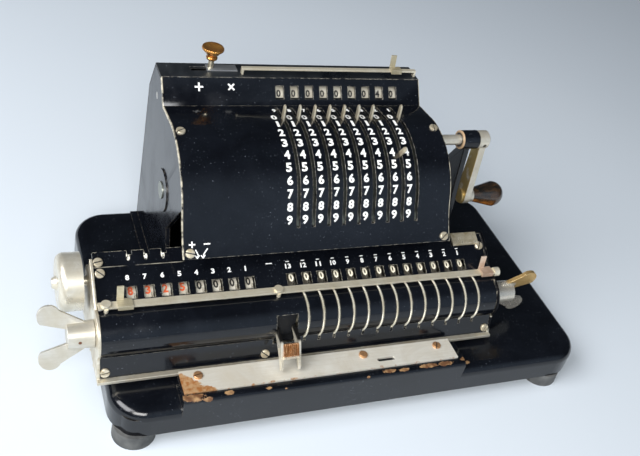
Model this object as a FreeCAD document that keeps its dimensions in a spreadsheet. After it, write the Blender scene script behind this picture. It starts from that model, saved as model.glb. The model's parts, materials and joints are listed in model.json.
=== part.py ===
import FreeCAD, Part
import math
import os
import re
import Sketcher
from FreeCAD import Placement, Rotation, Vector

# A desk calculator of the pinwheel kind, at its real size in millimetres.
# X runs along the carriage (right is +), Y towards the back, Z up.
# The origin is on the table, under the middle of the whole machine's length and depth.

DOC = FreeCAD.newDocument("PinwheelCalculator")
SHEET = DOC.addObject("Spreadsheet::Sheet", "Sizes")

# The driving dimensions, by the piece that they belong to.
SIZES = {
    # base casting and its rubber feet
    "base_middle": 16.75,
    "base_length": 300.0,
    "base_front": -84.0,
    "base_depth": 168.0,
    "base_height": 17.5,
    "base_corner": 20.0,
    "base_round": 6.0,
    "base_wall": 5.0,
    "foot_height": 9.0,
    "foot_radius": 12.0,
    "foot_taper": 0.4,
    "foot_seat": 9.5,
    "foot_inset_left": 14.0,
    "foot_inset_right": 20.0,
    "foot_inset_front": 10.5,
    # raised platform at the front, with the nickel strip on it
    "platform_left": -97.25,
    "platform_length": 172.0,
    "platform_depth": 17.5,
    "platform_rise": 6.5,
    "platform_round": 2.5,
    "strip_left": -96.25,
    "strip_length": 167.0,
    "strip_front_gap": 5.0,
    "strip_width": 15.0,
    "strip_thick": 1.3,
    "strip_slot_x": 24.75,
    "strip_slot_length": 9.0,
    "strip_slot_width": 2.6,
    # rib on the base that guides the carriage
    "guide_left": -99.25,
    "guide_length": 170.0,
    "guide_width": 10.0,
    "guide_y": -42.0,
    # body: two side plates, the curved front cover and the rear cover
    "body_left": -92.25,
    "body_right": 70.95,
    "plate_thick": 2.5,
    "cover_thick": 1.5,
    "cover_radius": 45.5,
    "slot_inner_reach": 3.0,
    "slot_outer_reach": 4.0,
    "window_front_cut": 2.0,
    "window_rear_cut": 5.0,
    "window_top_cut": 4.0,
    "front_miter": 0.5,
    "rear_miter": 0.6,
    "bend_miter": 0.2,
    "pinwheel_y": 24.5,
    "pinwheel_z": 88.7,
    "crease_y": 44.7,
    "crease_z": 132.0,
    "top_front_y": 55.2,
    "top_z": 144.6,
    "top_rear_y": 70.5,
    "rear_y": 80.4,
    "rear_bend_z": 124.9,
    "flare_angle": 157.0,
    "flare_radius": 70.0,
    "flare_turn": 21.0,
    "notch_y": 8.0,
    "notch_z": 74.0,
    "notch_low_y": 4.0,
    "notch_low_z": 64.0,
    "lobe_y": -16.0,
    "lobe_z": 62.0,
    "flange_width": 4.6,
    "flange_thick": 2.4,
    "boss_radius": 12.5,
    "boss_depth": 0.8,
    # columns of the setting mechanism, counted from the right
    "pitch": 9.3,
    "slot_x": 48.15,
    "slot_width": 1.7,
    "slot_first_angle": 68.0,
    "slot_last_angle": 171.6,
    "window_y": 49.6,
    "window_width": 5.0,
    "window_height": 7.7,
    "window_offset": 3.7,
    "ring_thick": 1.1,
    "ring_bore": 12.3,
    "lever_height": 8.5,
    "blade_root": 2.0,
    "lever_width": 4.4,
    "lever_angle": 84.5,
    "lever_step": 9.3,
    "preset_steps": 4.0,
    "dial_y": 59.6,
    "dial_z": 129.6,
    "dial_step": 36.0,
    "dial_radius": 10.4,
    "dial_width": 6.6,
    "mesh_gap": 0.3,
    "tooth_flank": 0.3,
    "rim_clear": 1.02,
    "tooth_depth": 1.0,
    "side_gap": 0.3,
    "running_fit": 0.06,
    # rotor with its pinwheels, and the gears between it and the carriage
    "rotor_shaft": 5.0,
    "rotor_hub": 12.0,
    "shaft_end": 0.6,
    "pinwheel_radius": 38.0,
    "pin_width": 1.6,
    "pin_length": 1.6,
    "pin_root": 1.0,
    "pin_reach": 42.6,
    "pin_first_angle": -60.0,
    "gear_left": 59.75,
    "gear_width": 6.0,
    "transfer_y": -11.2,
    "transfer_z": 55.7,
    "transfer_radius": 5.8,
    "transfer_width": 3.6,
    "transfer_offset": 6.9,
    "cross_shaft": 2.0,
    # crank, with the bracket that carries its outer end
    "crank_y": 38.1,
    "crank_z": 110.0,
    "crank_shaft": 3.4,
    "collar_left": 104.25,
    "collar_length": 12.8,
    "collar_radius": 6.2,
    "bracket_thick": 4.0,
    "bracket_front": 12.0,
    "bracket_rear": 38.0,
    "bracket_neck": 3.0,
    "bracket_foot": 14.0,
    "bracket_flange": 14.0,
    "hub_length": 8.2,
    "hub_radius": 6.0,
    "hub_round": 1.2,
    "crank_throw": 44.0,
    "shaft_stub": 2.0,
    "shoulder_clear": 1.0,
    "crank_lean": 4.9,
    "arm_thick": 5.0,
    "arm_width": 8.0,
    "arm_end": 5.8,
    "pin_head": 1.6,
    "ferrule_length": 3.4,
    "ferrule_radius": 5.0,
    "handle_length": 24.5,
    "handle_radius": 8.8,
    "handle_neck": 4.8,
    "handle_pin": 2.0,
    # mode knob and the marker rail on top
    "knob_x": -61.85,
    "knob_y": 64.5,
    "knob_height": 13.2,
    "knob_stem_share": 0.4,
    "knob_neck_start": 0.45,
    "knob_neck_end": 0.6,
    "tongue_clear": 1.0,
    "knob_radius": 6.4,
    "knob_rim": 1.4,
    "knob_stem": 1.7,
    "knob_neck": 3.4,
    "knob_slot": 22.6,
    "knob_slot_width": 4.0,
    "slide_plate_left": -64.25,
    "slide_plate_length": 18.0,
    "slide_plate_width": 6.6,
    "slide_plate_thick": 1.0,
    "top_rail_left": -44.75,
    "top_rail_length": 114.0,
    "top_rail_y": 59.4,
    "top_rail_height": 4.2,
    "top_rail_width": 3.0,
    "top_rail_thick": 1.2,
    "top_marker_x": 55.25,
    "top_marker_length": 7.0,
    "top_marker_height": 8.0,
    # carriage
    "carriage_left": -138.55,
    "carriage_length": 241.7,
    "end_thick": 1.6,
    "end_proud": 0.8,
    "end_rear_y": -9.0,
    "end_rear_z": 66.0,
    "floor_front_y": -63.5,
    "floor_rear_y": -22.0,
    "floor_z": 30.0,
    "floor_thick": 2.0,
    "lip_depth": 2.5,
    "lip_thick": 1.5,
    "slide_gap": 0.1,
    "housing_thick": 1.0,
    "barrel_radius": 13.8,
    "barrel_y": -45.0,
    "barrel_z": 50.5,
    "barrel_top_angle": 80.0,
    "barrel_low_angle": 208.0,
    "end_rear_rise": 4.0,
    "notch_clear": 1.0,
    "apron_y": -60.7,
    "face_top_y": -22.7,
    "face_top_z": 76.0,
    "lip_y": -18.5,
    "lip_z": 78.0,
    "wide_lip_y": -14.7,
    "wide_lip_z": 79.6,
    "wide_lip_length": 68.0,
    "notch_x": -117.45,
    "notch_width": 2.6,
    "notch_depth": 2.4,
    # number wheels in the carriage
    "result_x": 82.45,
    "counter_x": -53.85,
    "wheel_y": -28.6,
    "wheel_z": 56.3,
    "wheel_radius": 11.5,
    "wheel_drum": 4.0,
    "wheel_left": 2.4,
    "wheel_gear": 1.3,
    "disc_ratio": 2.0,
    "wheel_tooth": 1.2,
    "wheel_shaft": 2.5,
    "glass_width": 5.6,
    "glass_height": 6.6,
    "glass_down": 14.9,
    "axle_radius": 3.0,
    "disc_radius": 14.6,
    "disc_thick": 0.9,
    "disc_offset": 6.0,
    "disc_gap": 0.25,
    "disc_slot_reach": 2.0,
    "disc_first_angle": 70.0,
    "disc_last_angle": 217.5,
    # clearing wing nuts and the bell
    "axle_end": 12.0,
    "wing_hub_radius": 7.4,
    "wing_hub_length": 13.5,
    "wing_hub_taper": 0.92,
    "wing_root_share": 0.35,
    "wing_root_clear": 1.0,
    "wing_lobe_first": 40.0,
    "wing_lobe_last": 150.0,
    "wing_reach": 14.4,
    "wing_spread": 11.5,
    "wing_lobe": 5.9,
    "wing_thick": 2.4,
    "wing_left_tilt": -26.0,
    "wing_right_tilt": 5.0,
    "wing_right_gap": 3.3,
    "bell_radius": 16.0,
    "bell_depth": 12.5,
    "bell_wall": 1.2,
    "bell_round": 4.0,
    "bell_standoff": 3.2,
    "bell_y": -14.0,
    "bell_z": 59.0,
    "bell_stud": 2.6,
    "bell_nut": 4.0,
    "bell_nut_height": 2.4,
    "bell_nut_taper": 0.7,
    # decimal rail with its two markers
    "rail_y": -42.3,
    "rail_z": 67.1,
    "rail_width": 4.4,
    "rail_thick": 1.2,
    "rail_inset": 4.0,
    "rail_post_x": -38.65,
    "rail_post_y": -44.0,
    "rail_post_radius": 1.2,
    "rail_nut": 3.4,
    "rail_nut_rise": 0.6,
    "marker_length": 8.0,
    "marker_height": 8.5,
    "marker_thick": 0.8,
    "marker_gap": 0.1,
    "marker_skirt": 0.6,
    "marker_pointer": 3.6,
    "marker_lean": 1.5,
    "left_marker_x": -123.15,
    "right_marker_x": 97.4,
    # carriage shift key
    "key_x": -35.75,
    "key_width": 9.0,
    "key_thick": 1.4,
    "key_pivot_y": -58.0,
    "key_pivot_z": 50.0,
    "key_cheek": 6.5,
    "key_pin": 1.5,
    "key_front_y": -75.0,
    "key_foot_z": 36.4,
    "key_web_y": -67.5,
    "key_web_rise": 3.5,
    "key_tip": 1.5,
    "key_web_back": 2.0,
    "recess_drop": 9.0,
    "recess_rise": 10.0,
    # spring bracket at the carriage's right end
    "detent_x": 79.75,
    "detent_length": 18.0,
    "detent_depth": 7.0,
    "detent_drop": 3.0,
    # screws
    "screw_head": 2.6,
    "screw_height": 1.2,
    "screw_slot": 0.7,
    "screw_inset": 4.0,
    "screw_angle": 99.0,
    "screw_lip_angle": 2.6,
    "screw_seat": 0.06,
    "strip_screw_left": 9.7,
    "strip_screw_middle": 108.0,
    "strip_screw_right": 157.0,
    "strip_screw_inset": 4.5,
    "strip_slot_forward": 2.0,
    "apron_screw_inset": 2.6,
    "apron_screw_z": 35.5,
    "apron_screw_gap": 10.4,
}

for row, (alias, size) in enumerate(SIZES.items(), start=1):
    SHEET.set("A%d" % row, alias)
    SHEET.set("B%d" % row, str(size))
    SHEET.setAlias("B%d" % row, alias)
DOC.recompute()

NODES = []


# --- helpers -------------------------------------------------------------------------

def sized(text):
    """The expression text, with each named size written as a cell of the sheet."""
    return re.sub(r"[a-z_]+\b(?!\()", lambda word: "Sizes." + word.group(0)
                  if word.group(0) in SIZES else word.group(0), str(text))


def number(text):
    """The present value of an expression in named sizes."""
    return float(SHEET.evalExpression(sized(text)))


def bind(thing, **properties):
    """Tie properties of an object to expressions; Base_x stands for Placement.Base.x."""
    for name, text in properties.items():
        path = name.replace("Base_", "Placement.Base.")
        thing.setExpression(path, sized(text))


def node(thing, label):
    """Register a finished object as a sub-part of the calculator."""
    thing.Label = label
    NODES.append(thing)
    return thing


def origin_part(body, role):
    """The origin plane or axis of a body with the given role."""
    return [part for part in body.Origin.OriginFeatures if part.Role == role][0]


def sketch_in(body, role, outlines=(), circles=(), offset="0"):
    """A fully constrained sketch whose every coordinate is an expression.

    An outline is a list of corners (x, y). A corner may carry a centre and a sense,
    (x, y, cx, cy, turn), and then an arc about that centre leads to the next corner:
    turn is 1 for counter-clockwise and -1 for clockwise.
    """
    sketch = body.newObject("Sketcher::SketchObject", "Sketch")
    sketch.AttachmentSupport = [(origin_part(body, role), "")]
    sketch.MapMode = "FlatFace"
    sketch.setExpression("AttachmentOffset.Base.z", sized(offset))
    for outline in outlines:
        add_outline(sketch, outline)
    for centre_x, centre_y, radius in circles:
        centre = Vector(number(centre_x), number(centre_y), 0)
        round_edge = sketch.addGeometry(Part.Circle(centre, Vector(0, 0, 1), number(radius)))
        fix_point(sketch, round_edge, 3, centre_x, centre_y)
        size = sketch.addConstraint(Sketcher.Constraint("Radius", round_edge, number(radius)))
        sketch.setExpression("Constraints[%d]" % size, sized(radius))
    return sketch


def fix_point(sketch, edge, end, x=None, y=None):
    """Hold one point of a sketch at expressions from the sketch's origin."""
    for kind, text in (("DistanceX", x), ("DistanceY", y)):
        if text is not None:
            held = Sketcher.Constraint(kind, -1, 1, edge, end, number(text))
            index = sketch.addConstraint(held)
            sketch.setExpression("Constraints[%d]" % index, sized(text))


def add_outline(sketch, corners):
    """Lines and arcs round one closed outline."""
    count = len(corners)
    points = [Vector(number(c[0]), number(c[1]), 0) for c in corners]
    edges = []
    for index, corner in enumerate(corners):
        start, end = points[index], points[(index + 1) % count]
        if len(corner) == 2:
            edges.append(sketch.addGeometry(Part.LineSegment(start, end)))
            continue
        centre = Vector(number(corner[2]), number(corner[3]), 0)
        radius = (start - centre).Length
        first = math.atan2(start.y - centre.y, start.x - centre.x)
        last = math.atan2(end.y - centre.y, end.x - centre.x)
        if corner[4] < 0:
            first, last = last, first
        circle = Part.Circle(centre, Vector(0, 0, 1), radius)
        edges.append(sketch.addGeometry(Part.ArcOfCircle(circle, first, last)))
    ends = [(1, 2) if len(c) == 2 or c[4] > 0 else (2, 1) for c in corners]
    for index in range(count):
        follower = (index + 1) % count
        joined = Sketcher.Constraint("Coincident", edges[index], ends[index][1],
                                     edges[follower], ends[follower][0])
        sketch.addConstraint(joined)
    for index, corner in enumerate(corners):
        before = corners[index - 1]
        x, y = corner[0], corner[1]
        if len(before) > 2:
            arm = points[index] - Vector(number(before[2]), number(before[3]), 0)
            if abs(arm.y) > abs(arm.x):
                y = None
            else:
                x = None
        fix_point(sketch, edges[index], ends[index][0], x, y)
        if len(corner) > 2:
            fix_point(sketch, edges[index], 3, corner[2], corner[3])


def body_named(label):
    """A new PartDesign body, registered as a node."""
    return node(DOC.addObject("PartDesign::Body", "Body"), label)


def pad(body, sketch, length, reverse=False, midplane=False):
    """Pad a sketch by an expression."""
    feature = body.newObject("PartDesign::Pad", "Pad")
    feature.Profile = sketch
    feature.Reversed = reverse
    feature.Midplane = midplane
    feature.setExpression("Length", sized(length))
    return feature


def pocket(body, sketch, length=None, reverse=False, midplane=False):
    """Cut a sketch out of a body by an expression, or right through."""
    feature = body.newObject("PartDesign::Pocket", "Pocket")
    feature.Profile = sketch
    feature.Reversed = reverse
    feature.Midplane = midplane
    if length is None:
        feature.Type = 1
    else:
        feature.setExpression("Length", sized(length))
    return feature


def revolve(body, sketch, axis="H_Axis"):
    """Turn a sketch once round one of its own axes."""
    feature = body.newObject("PartDesign::Revolution", "Revolution")
    feature.Profile = sketch
    feature.ReferenceAxis = (sketch, [axis])
    feature.Angle = 360.0
    return feature


def along_x(label, outlines, left, length, circles=()):
    """A body of one section in the Y-Z plane, padded along +X from `left`."""
    body = body_named(label)
    pad(body, sketch_in(body, "YZ_Plane", outlines, circles, left), length)
    return body


def turned_about_x(label, outline, y, z):
    """A body turned about an axis along X; the outline is in (x, radius)."""
    body = body_named(label)
    revolve(body, sketch_in(body, "XY_Plane", [outline]))
    bind(body, Base_y=y, Base_z=z)
    return body


def group(label, solids):
    """One node of separate solids, made once from the sheet's sizes."""
    feature = DOC.addObject("Part::Feature", "Group")
    feature.Shape = Part.makeCompound(solids)
    return node(feature, label)


def polar(centre_y, centre_z, radius, angle):
    """Expressions for a point on a circle in the Y-Z plane, angle from +Y to +Z."""
    return ("%s + (%s) * cos(%s)" % (centre_y, radius, angle),
            "%s + (%s) * sin(%s)" % (centre_z, radius, angle))


def round_edges(body, radius, chosen):
    """Fillet those edges of a body whose end points and middle all pass a test."""
    DOC.recompute()
    solid = body.Tip
    names = []
    for index, edge in enumerate(solid.Shape.Edges, start=1):
        points = [vertex.Point for vertex in edge.Vertexes]
        points.append(edge.valueAt((edge.FirstParameter + edge.LastParameter) / 2))
        if all(chosen(point) for point in points):
            names.append("Edge%d" % index)
    feature = body.newObject("PartDesign::Fillet", "Fillet")
    feature.Base = (solid, names)
    feature.setExpression("Radius", sized(radius))


def repeat_along_x(body, feature, count, step):
    """Repeat a feature along X; a negative step runs towards the left."""
    pattern = body.newObject("PartDesign::LinearPattern", "Row")
    pattern.Originals = [feature]
    pattern.Direction = (origin_part(body, "X_Axis"), [""])
    pattern.Reversed = True
    pattern.Occurrences = count
    pattern.setExpression("Length", sized("%d * (%s)" % (count - 1, step)))
    body.Tip = pattern


def repeat_around_x(body, feature, count):
    """Repeat a feature evenly round the body's own X axis."""
    pattern = body.newObject("PartDesign::PolarPattern", "Ring")
    pattern.Originals = [feature]
    pattern.Axis = (origin_part(body, "X_Axis"), [""])
    pattern.Occurrences = count
    body.Tip = pattern


def box_outline(left, bottom, right, top):
    """A rectangle as four corners."""
    return [(left, bottom), (right, bottom), (right, top), (left, top)]


def round_box_outline(half_x, half_y, radius):
    """A rectangle with rounded corners about the middle of the base."""
    corners = []
    for sign_x, sign_y in ((1, 1), (-1, 1), (-1, -1), (1, -1)):
        centre_x = "base_middle + %d * (%s - (%s))" % (sign_x, half_x, radius)
        centre_y = "%s + %d * (%s - (%s))" % (BASE_MIDDLE, sign_y, half_y, radius)
        side = ("%s + %d * (%s)" % (centre_x, sign_x, radius), centre_y)
        end = (centre_x, "%s + %d * (%s)" % (centre_y, sign_y, radius))
        first, last = (side, end) if sign_x * sign_y > 0 else (end, side)
        corners += [first + (centre_x, centre_y, 1), last]
    return corners


def notched(body, count, radius, depth, left, length):
    """Cut evenly spaced V notches into the rim of a wheel, which leaves its teeth."""
    half = "(%s) * tan(tooth_flank * 360 / %d)" % (radius, count)
    outer = "(%s) * rim_clear" % radius
    root = "%s - (%s)" % (radius, depth)
    outline = [("0", root), (half, outer), ("-(%s)" % half, outer)]
    sketch = sketch_in(body, "YZ_Plane", [outline], offset=left)
    repeat_around_x(body, pocket(body, sketch, length, reverse=True), count)


def compound(label, members):
    """One node that holds several objects of the document as separate solids."""
    whole = DOC.addObject("Part::Compound", "Group")
    whole.Links = members
    return node(whole, label)


# --- places worked out from the driving dimensions -----------------------------------

DECK = "(foot_height + base_height)"
PLATFORM_TOP = "(foot_height + base_height + platform_rise)"
FRONT = "base_front"
BASE_MIDDLE = "(base_front + base_depth / 2)"
FLARE_Y, FLARE_Z = polar("pinwheel_y", "pinwheel_z", "cover_radius + flare_radius", "flare_angle")
RATIO = "(dial_step / lever_step)"
DIAL_DISTANCE = "sqrt((dial_y - pinwheel_y)^2 + (dial_z - pinwheel_z)^2)"
RING_RADIUS = "(%s * %s / (1 + %s) - mesh_gap / 2)" % (DIAL_DISTANCE, RATIO, RATIO)
DIAL_GEAR = "(%s / (1 + %s) - mesh_gap / 2)" % (DIAL_DISTANCE, RATIO)
CRANK_DISTANCE = "sqrt((crank_y - pinwheel_y)^2 + (crank_z - pinwheel_z)^2)"
CRANK_GEAR = "(%s / 2 - mesh_gap / 2)" % CRANK_DISTANCE
AXLE_DISTANCE = "sqrt((wheel_y - barrel_y)^2 + (wheel_z - barrel_z)^2)"
WHEEL_GEAR = "(%s * disc_ratio / (1 + disc_ratio) - mesh_gap / 2)" % AXLE_DISTANCE
WHEEL_PINION = "(%s / (1 + disc_ratio) - mesh_gap / 2)" % AXLE_DISTANCE
CARRIAGE_RIGHT = "(carriage_left + carriage_length)"
FACE_LOW_Y, FACE_LOW_Z = polar("barrel_y", "barrel_z", "barrel_radius", "barrel_top_angle")
COLUMNS = 9
PINS = 9
RESULT_PLACES = 13
COUNTER_PLACES = 8
LEVER_AT_FOUR = 2
WHEEL_TEETH = 10
CRANK_TEETH = 20
HALF_TURN = 180


def column(place):
    """Where the slot of a setting column lies, counted from the right."""
    return "(slot_x - %d * pitch)" % (place - 1)


# --- base ------------------------------------------------------------------------------

def make_base():
    """The cast base: a tray upside down, with the front platform and the guide rib."""
    body = body_named("base_casting")
    outer = round_box_outline("base_length / 2", "base_depth / 2", "base_corner")
    pad(body, sketch_in(body, "XY_Plane", [outer], offset="foot_height"), "base_height")
    top = number(DECK)
    round_edges(body, "base_round", lambda p: abs(p.z - top) < 1e-4)
    inner = round_box_outline("base_length / 2 - base_wall", "base_depth / 2 - base_wall",
                              "base_corner - base_wall")
    pocket(body, sketch_in(body, "XY_Plane", [inner], offset="foot_height"),
           "base_height - base_wall", reverse=True)
    seats = [(x, y, "foot_seat") for x, y in foot_places()]
    pad(body, sketch_in(body, "XY_Plane", circles=seats, offset="foot_height"),
        "base_height - base_wall")
    step = [(FRONT, "%s - base_round" % DECK),
            ("%s + platform_depth" % FRONT, "%s - base_round" % DECK),
            ("%s + platform_depth" % FRONT, PLATFORM_TOP),
            ("%s + platform_round" % FRONT, PLATFORM_TOP, "%s + platform_round" % FRONT,
             "%s - platform_round" % PLATFORM_TOP, 1),
            (FRONT, "%s - platform_round" % PLATFORM_TOP)]
    pad(body, sketch_in(body, "YZ_Plane", [step], offset="platform_left"), "platform_length")
    rib = box_outline("guide_y - guide_width / 2", "%s - base_wall / 2" % DECK,
                      "guide_y + guide_width / 2", "floor_z - slide_gap")
    pad(body, sketch_in(body, "YZ_Plane", [rib], offset="guide_left"), "guide_length")


def foot_places():
    """The four corners where the feet stand."""
    left = "base_middle - base_length / 2 + foot_inset_left"
    right = "base_middle + base_length / 2 - foot_inset_right"
    half = "(base_depth / 2 - foot_inset_front)"
    return [(x, "%s + %d * %s" % (BASE_MIDDLE, side, half))
            for x in (left, right) for side in (-1, 1)]


def make_feet():
    """Four rubber feet, each a low cone that is widest at the base."""
    feet = []
    for x, y in foot_places():
        foot = DOC.addObject("Part::Cone", "Foot")
        bind(foot, Radius1="foot_radius", Radius2="foot_radius - foot_taper",
             Height="foot_height", Base_x=x, Base_y=y)
        feet.append(foot)
    compound("rubber_feet", feet)


def make_track_strip():
    """The nickel strip on the platform, with an oval slot near its middle."""
    body = body_named("track_strip")
    front = "%s + strip_front_gap" % FRONT
    plan = box_outline("strip_left", front, "strip_left + strip_length",
                       "%s + strip_width" % front)
    pad(body, sketch_in(body, "XY_Plane", [plan], offset=PLATFORM_TOP), "strip_thick")
    middle = "%s + strip_width / 2 - strip_slot_forward" % front
    half, end = "strip_slot_width / 2", "strip_slot_length / 2"
    left, right = "strip_slot_x - %s" % end, "strip_slot_x + %s" % end
    oval = [(right, "%s - %s" % (middle, half), right, middle, 1),
            (right, "%s + %s" % (middle, half)),
            (left, "%s + %s" % (middle, half), left, middle, 1),
            (left, "%s - %s" % (middle, half))]
    pocket(body, sketch_in(body, "XY_Plane", [oval], offset=PLATFORM_TOP), reverse=True)


# --- body: side plates and covers ---------------------------------------------------------

def cover_path(inset):
    """Corners from the top front edge round the curved front to the flare's lip."""
    radius = "cover_radius - (%s)" % inset
    flare = "flare_radius + (%s)" % inset
    arc_end = polar("pinwheel_y", "pinwheel_z", radius, "flare_angle")
    lip = polar(FLARE_Y, FLARE_Z, flare, "flare_angle + 180 - flare_turn")
    return [("top_front_y + front_miter * (%s)" % inset, "top_z - (%s)" % inset),
            ("crease_y + 0.4 * (%s)" % inset, "crease_z - (%s)" % inset),
            ("pinwheel_y", "pinwheel_z + %s" % radius, "pinwheel_y", "pinwheel_z", 1),
            arc_end + (FLARE_Y, FLARE_Z, -1),
            lip]


def back_along(path):
    """The same path in the other direction, with its arcs turned round."""
    corners = []
    for index in range(len(path) - 1, -1, -1):
        point = tuple(path[index][:2])
        before = path[index - 1] if index > 0 else ()
        arc = (before[2], before[3], -before[4]) if len(before) > 2 else ()
        corners.append(point + arc)
    return corners


def make_front_cover():
    """One sheet: the check window strip, the shelf, the drum front and its flared lip."""
    outline = cover_path("0") + back_along(cover_path("cover_thick"))
    body = along_x("front_cover", [outline], "body_left", "body_right - body_left")
    inner, outer = "cover_radius - slot_inner_reach", "cover_radius + slot_outer_reach"
    first, last = "slot_first_angle", "slot_last_angle"
    start = polar("pinwheel_y", "pinwheel_z", outer, first)
    slot = [start + ("pinwheel_y", "pinwheel_z", 1),
            polar("pinwheel_y", "pinwheel_z", outer, last),
            polar("pinwheel_y", "pinwheel_z", inner, last) + ("pinwheel_y", "pinwheel_z", -1),
            polar("pinwheel_y", "pinwheel_z", inner, first)]
    cut = pocket(body, sketch_in(body, "YZ_Plane", [slot], offset="slot_x - slot_width / 2"),
                 "slot_width", reverse=True)
    repeat_along_x(body, cut, COLUMNS, "pitch")
    left = "slot_x + window_offset - window_width / 2"
    low_y, low_z = strip_point("-window_height / 2")
    high_y, high_z = strip_point("window_height / 2")
    window = [(low_y + " - window_front_cut", low_z), (low_y + " + window_rear_cut", low_z),
              (high_y + " + window_rear_cut", high_z), (high_y + " - window_top_cut", high_z)]
    cut = pocket(body, sketch_in(body, "YZ_Plane", [window], offset=left), "window_width",
                 reverse=True)
    repeat_along_x(body, cut, COLUMNS, "pitch")


def strip_point(along):
    """A point on the window strip, measured up the strip from the window's middle."""
    length = "sqrt((top_front_y - crease_y)^2 + (top_z - crease_z)^2)"
    rise = "((top_z - crease_z) / (top_front_y - crease_y))"
    return ("window_y + (%s) * (top_front_y - crease_y) / %s" % (along, length),
            "crease_z + (window_y - crease_y) * %s + (%s) * (top_z - crease_z) / %s"
            % (rise, along, length))


def rear_path(inset):
    """Corners from the top front edge over the top and down the back."""
    return [("top_front_y + 0.5 * (%s)" % inset, "top_z - (%s)" % inset),
            ("top_rear_y - rear_miter * (%s)" % inset, "top_z - (%s)" % inset),
            ("rear_y - (%s)" % inset, "rear_bend_z - bend_miter * (%s)" % inset),
            ("rear_y - (%s)" % inset, DECK)]


def make_rear_cover():
    """The top and the back in one sheet, with a slot for the mode knob."""
    outline = rear_path("0") + back_along(rear_path("cover_thick"))
    body = along_x("rear_cover", [outline], "body_left", "body_right - body_left")
    slot = box_outline("knob_x - knob_slot / 2", "knob_y - knob_slot_width / 2",
                       "knob_x + knob_slot / 2", "knob_y + knob_slot_width / 2")
    sketch = sketch_in(body, "XY_Plane", [slot], offset="top_z")
    pocket(body, sketch, "cover_thick * 2")


def make_side_plate(label, left, holes):
    """A side plate that fills the covers' outline, notched where the carriage runs."""
    front = cover_path("cover_thick")
    front[3] = front[3][:2]
    outline = (front[:4]
               + [("notch_y", "notch_z"), ("notch_low_y", "notch_low_z"),
                  ("lobe_y", "lobe_z"), ("lobe_y", DECK)]
               + back_along(rear_path("cover_thick"))[:3])
    return along_x(label, [outline], left, "plate_thick", holes)


def make_side_plates():
    """Both side plates with their bearings; the left one has a boss and a foot flange."""
    shared = [("pinwheel_y", "pinwheel_z", "rotor_shaft + running_fit"),
              ("transfer_y", "transfer_z", "cross_shaft + running_fit"),
              ("dial_y", "dial_z", "cross_shaft + running_fit")]
    left = make_side_plate("side_plate_left", "body_left", shared)
    boss = [("pinwheel_y", "pinwheel_z", "boss_radius"), shared[0]]
    pad(left, sketch_in(left, "YZ_Plane", circles=boss, offset="body_left"), "boss_depth",
        reverse=True)
    flange = box_outline("lobe_y", DECK, "rear_y - cover_thick", "%s + flange_thick" % DECK)
    pad(left, sketch_in(left, "YZ_Plane", [flange], offset="body_left"), "flange_width",
        reverse=True)
    crank = ("crank_y", "crank_z", "crank_shaft + running_fit")
    make_side_plate("side_plate_right", "body_right - plate_thick", shared + [crank])


def make_cross_shafts():
    """The shafts that tie the side plates: for the check dials and the transfer gears."""
    shafts = []
    for y, z in (("dial_y", "dial_z"), ("transfer_y", "transfer_z")):
        shaft = DOC.addObject("Part::Cylinder", "Shaft")
        shaft.Placement = Placement(Vector(), Rotation(Vector(0, 1, 0), 90))
        bind(shaft, Radius="cross_shaft", Height="body_right - body_left",
             Base_x="body_left", Base_y=y, Base_z=z)
        shafts.append(shaft)
    compound("cross_shafts", shafts)


# --- setting mechanism ---------------------------------------------------------------------

def make_lever(place):
    """A setting ring with its finger blade, turned to where the operator left it."""
    body = body_named("setting_lever_%d" % place)
    ring = [("0", "0", RING_RADIUS), ("0", "0", "ring_bore")]
    pad(body, sketch_in(body, "YZ_Plane", circles=ring, offset="-ring_thick / 2"), "ring_thick")
    half, tip = "lever_width / 2", "cover_radius + lever_height - lever_width / 2"
    root = RING_RADIUS + " - blade_root"
    blade = [("-%s" % half, root), (half, root),
             (half, tip, "0", tip, 1), ("-%s" % half, tip)]
    pad(body, sketch_in(body, "YZ_Plane", [blade], offset="-ring_thick / 2"), "ring_thick")
    angle = "lever_angle - 90"
    if place == LEVER_AT_FOUR:
        angle += " + preset_steps * lever_step"
    turn(body, angle)
    bind(body, Base_x=column(place), Base_y="pinwheel_y", Base_z="pinwheel_z")


def turn(thing, angle):
    """Turn an object about its own X axis by an expression."""
    thing.Placement = Placement(Vector(), Rotation(Vector(1, 0, 0), 1))
    thing.setExpression("Placement.Rotation.Angle", sized(angle))


def make_check_dial(place):
    """A small number drum with the pinion that meshes with its setting ring."""
    right = "ring_thick / 2"
    outline = [("-%s" % right, "cross_shaft + running_fit"), ("-%s" % right, DIAL_GEAR),
               (right, DIAL_GEAR), (right, "dial_radius"),
               ("%s + dial_width" % right, "dial_radius"),
               ("%s + dial_width" % right, "cross_shaft + running_fit")]
    body = turned_about_x("check_dial_%d" % place, outline, "dial_y", "dial_z")
    notched(body, WHEEL_TEETH, DIAL_GEAR, "tooth_depth", "-%s" % right, "ring_thick")
    bind(body, Base_x=column(place))


def make_rotor_axle():
    """The shaft that the pinwheels are pinned to; it turns in both side plates."""
    axle = DOC.addObject("Part::Cylinder", "Axle")
    axle.Placement = Placement(Vector(), Rotation(Vector(0, 1, 0), 90))
    left = "body_left - boss_depth - shaft_end"
    bind(axle, Radius="rotor_shaft", Height="body_right - (%s)" % left, Base_x=left,
         Base_y="pinwheel_y", Base_z="pinwheel_z")
    node(axle, "rotor_axle")


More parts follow.
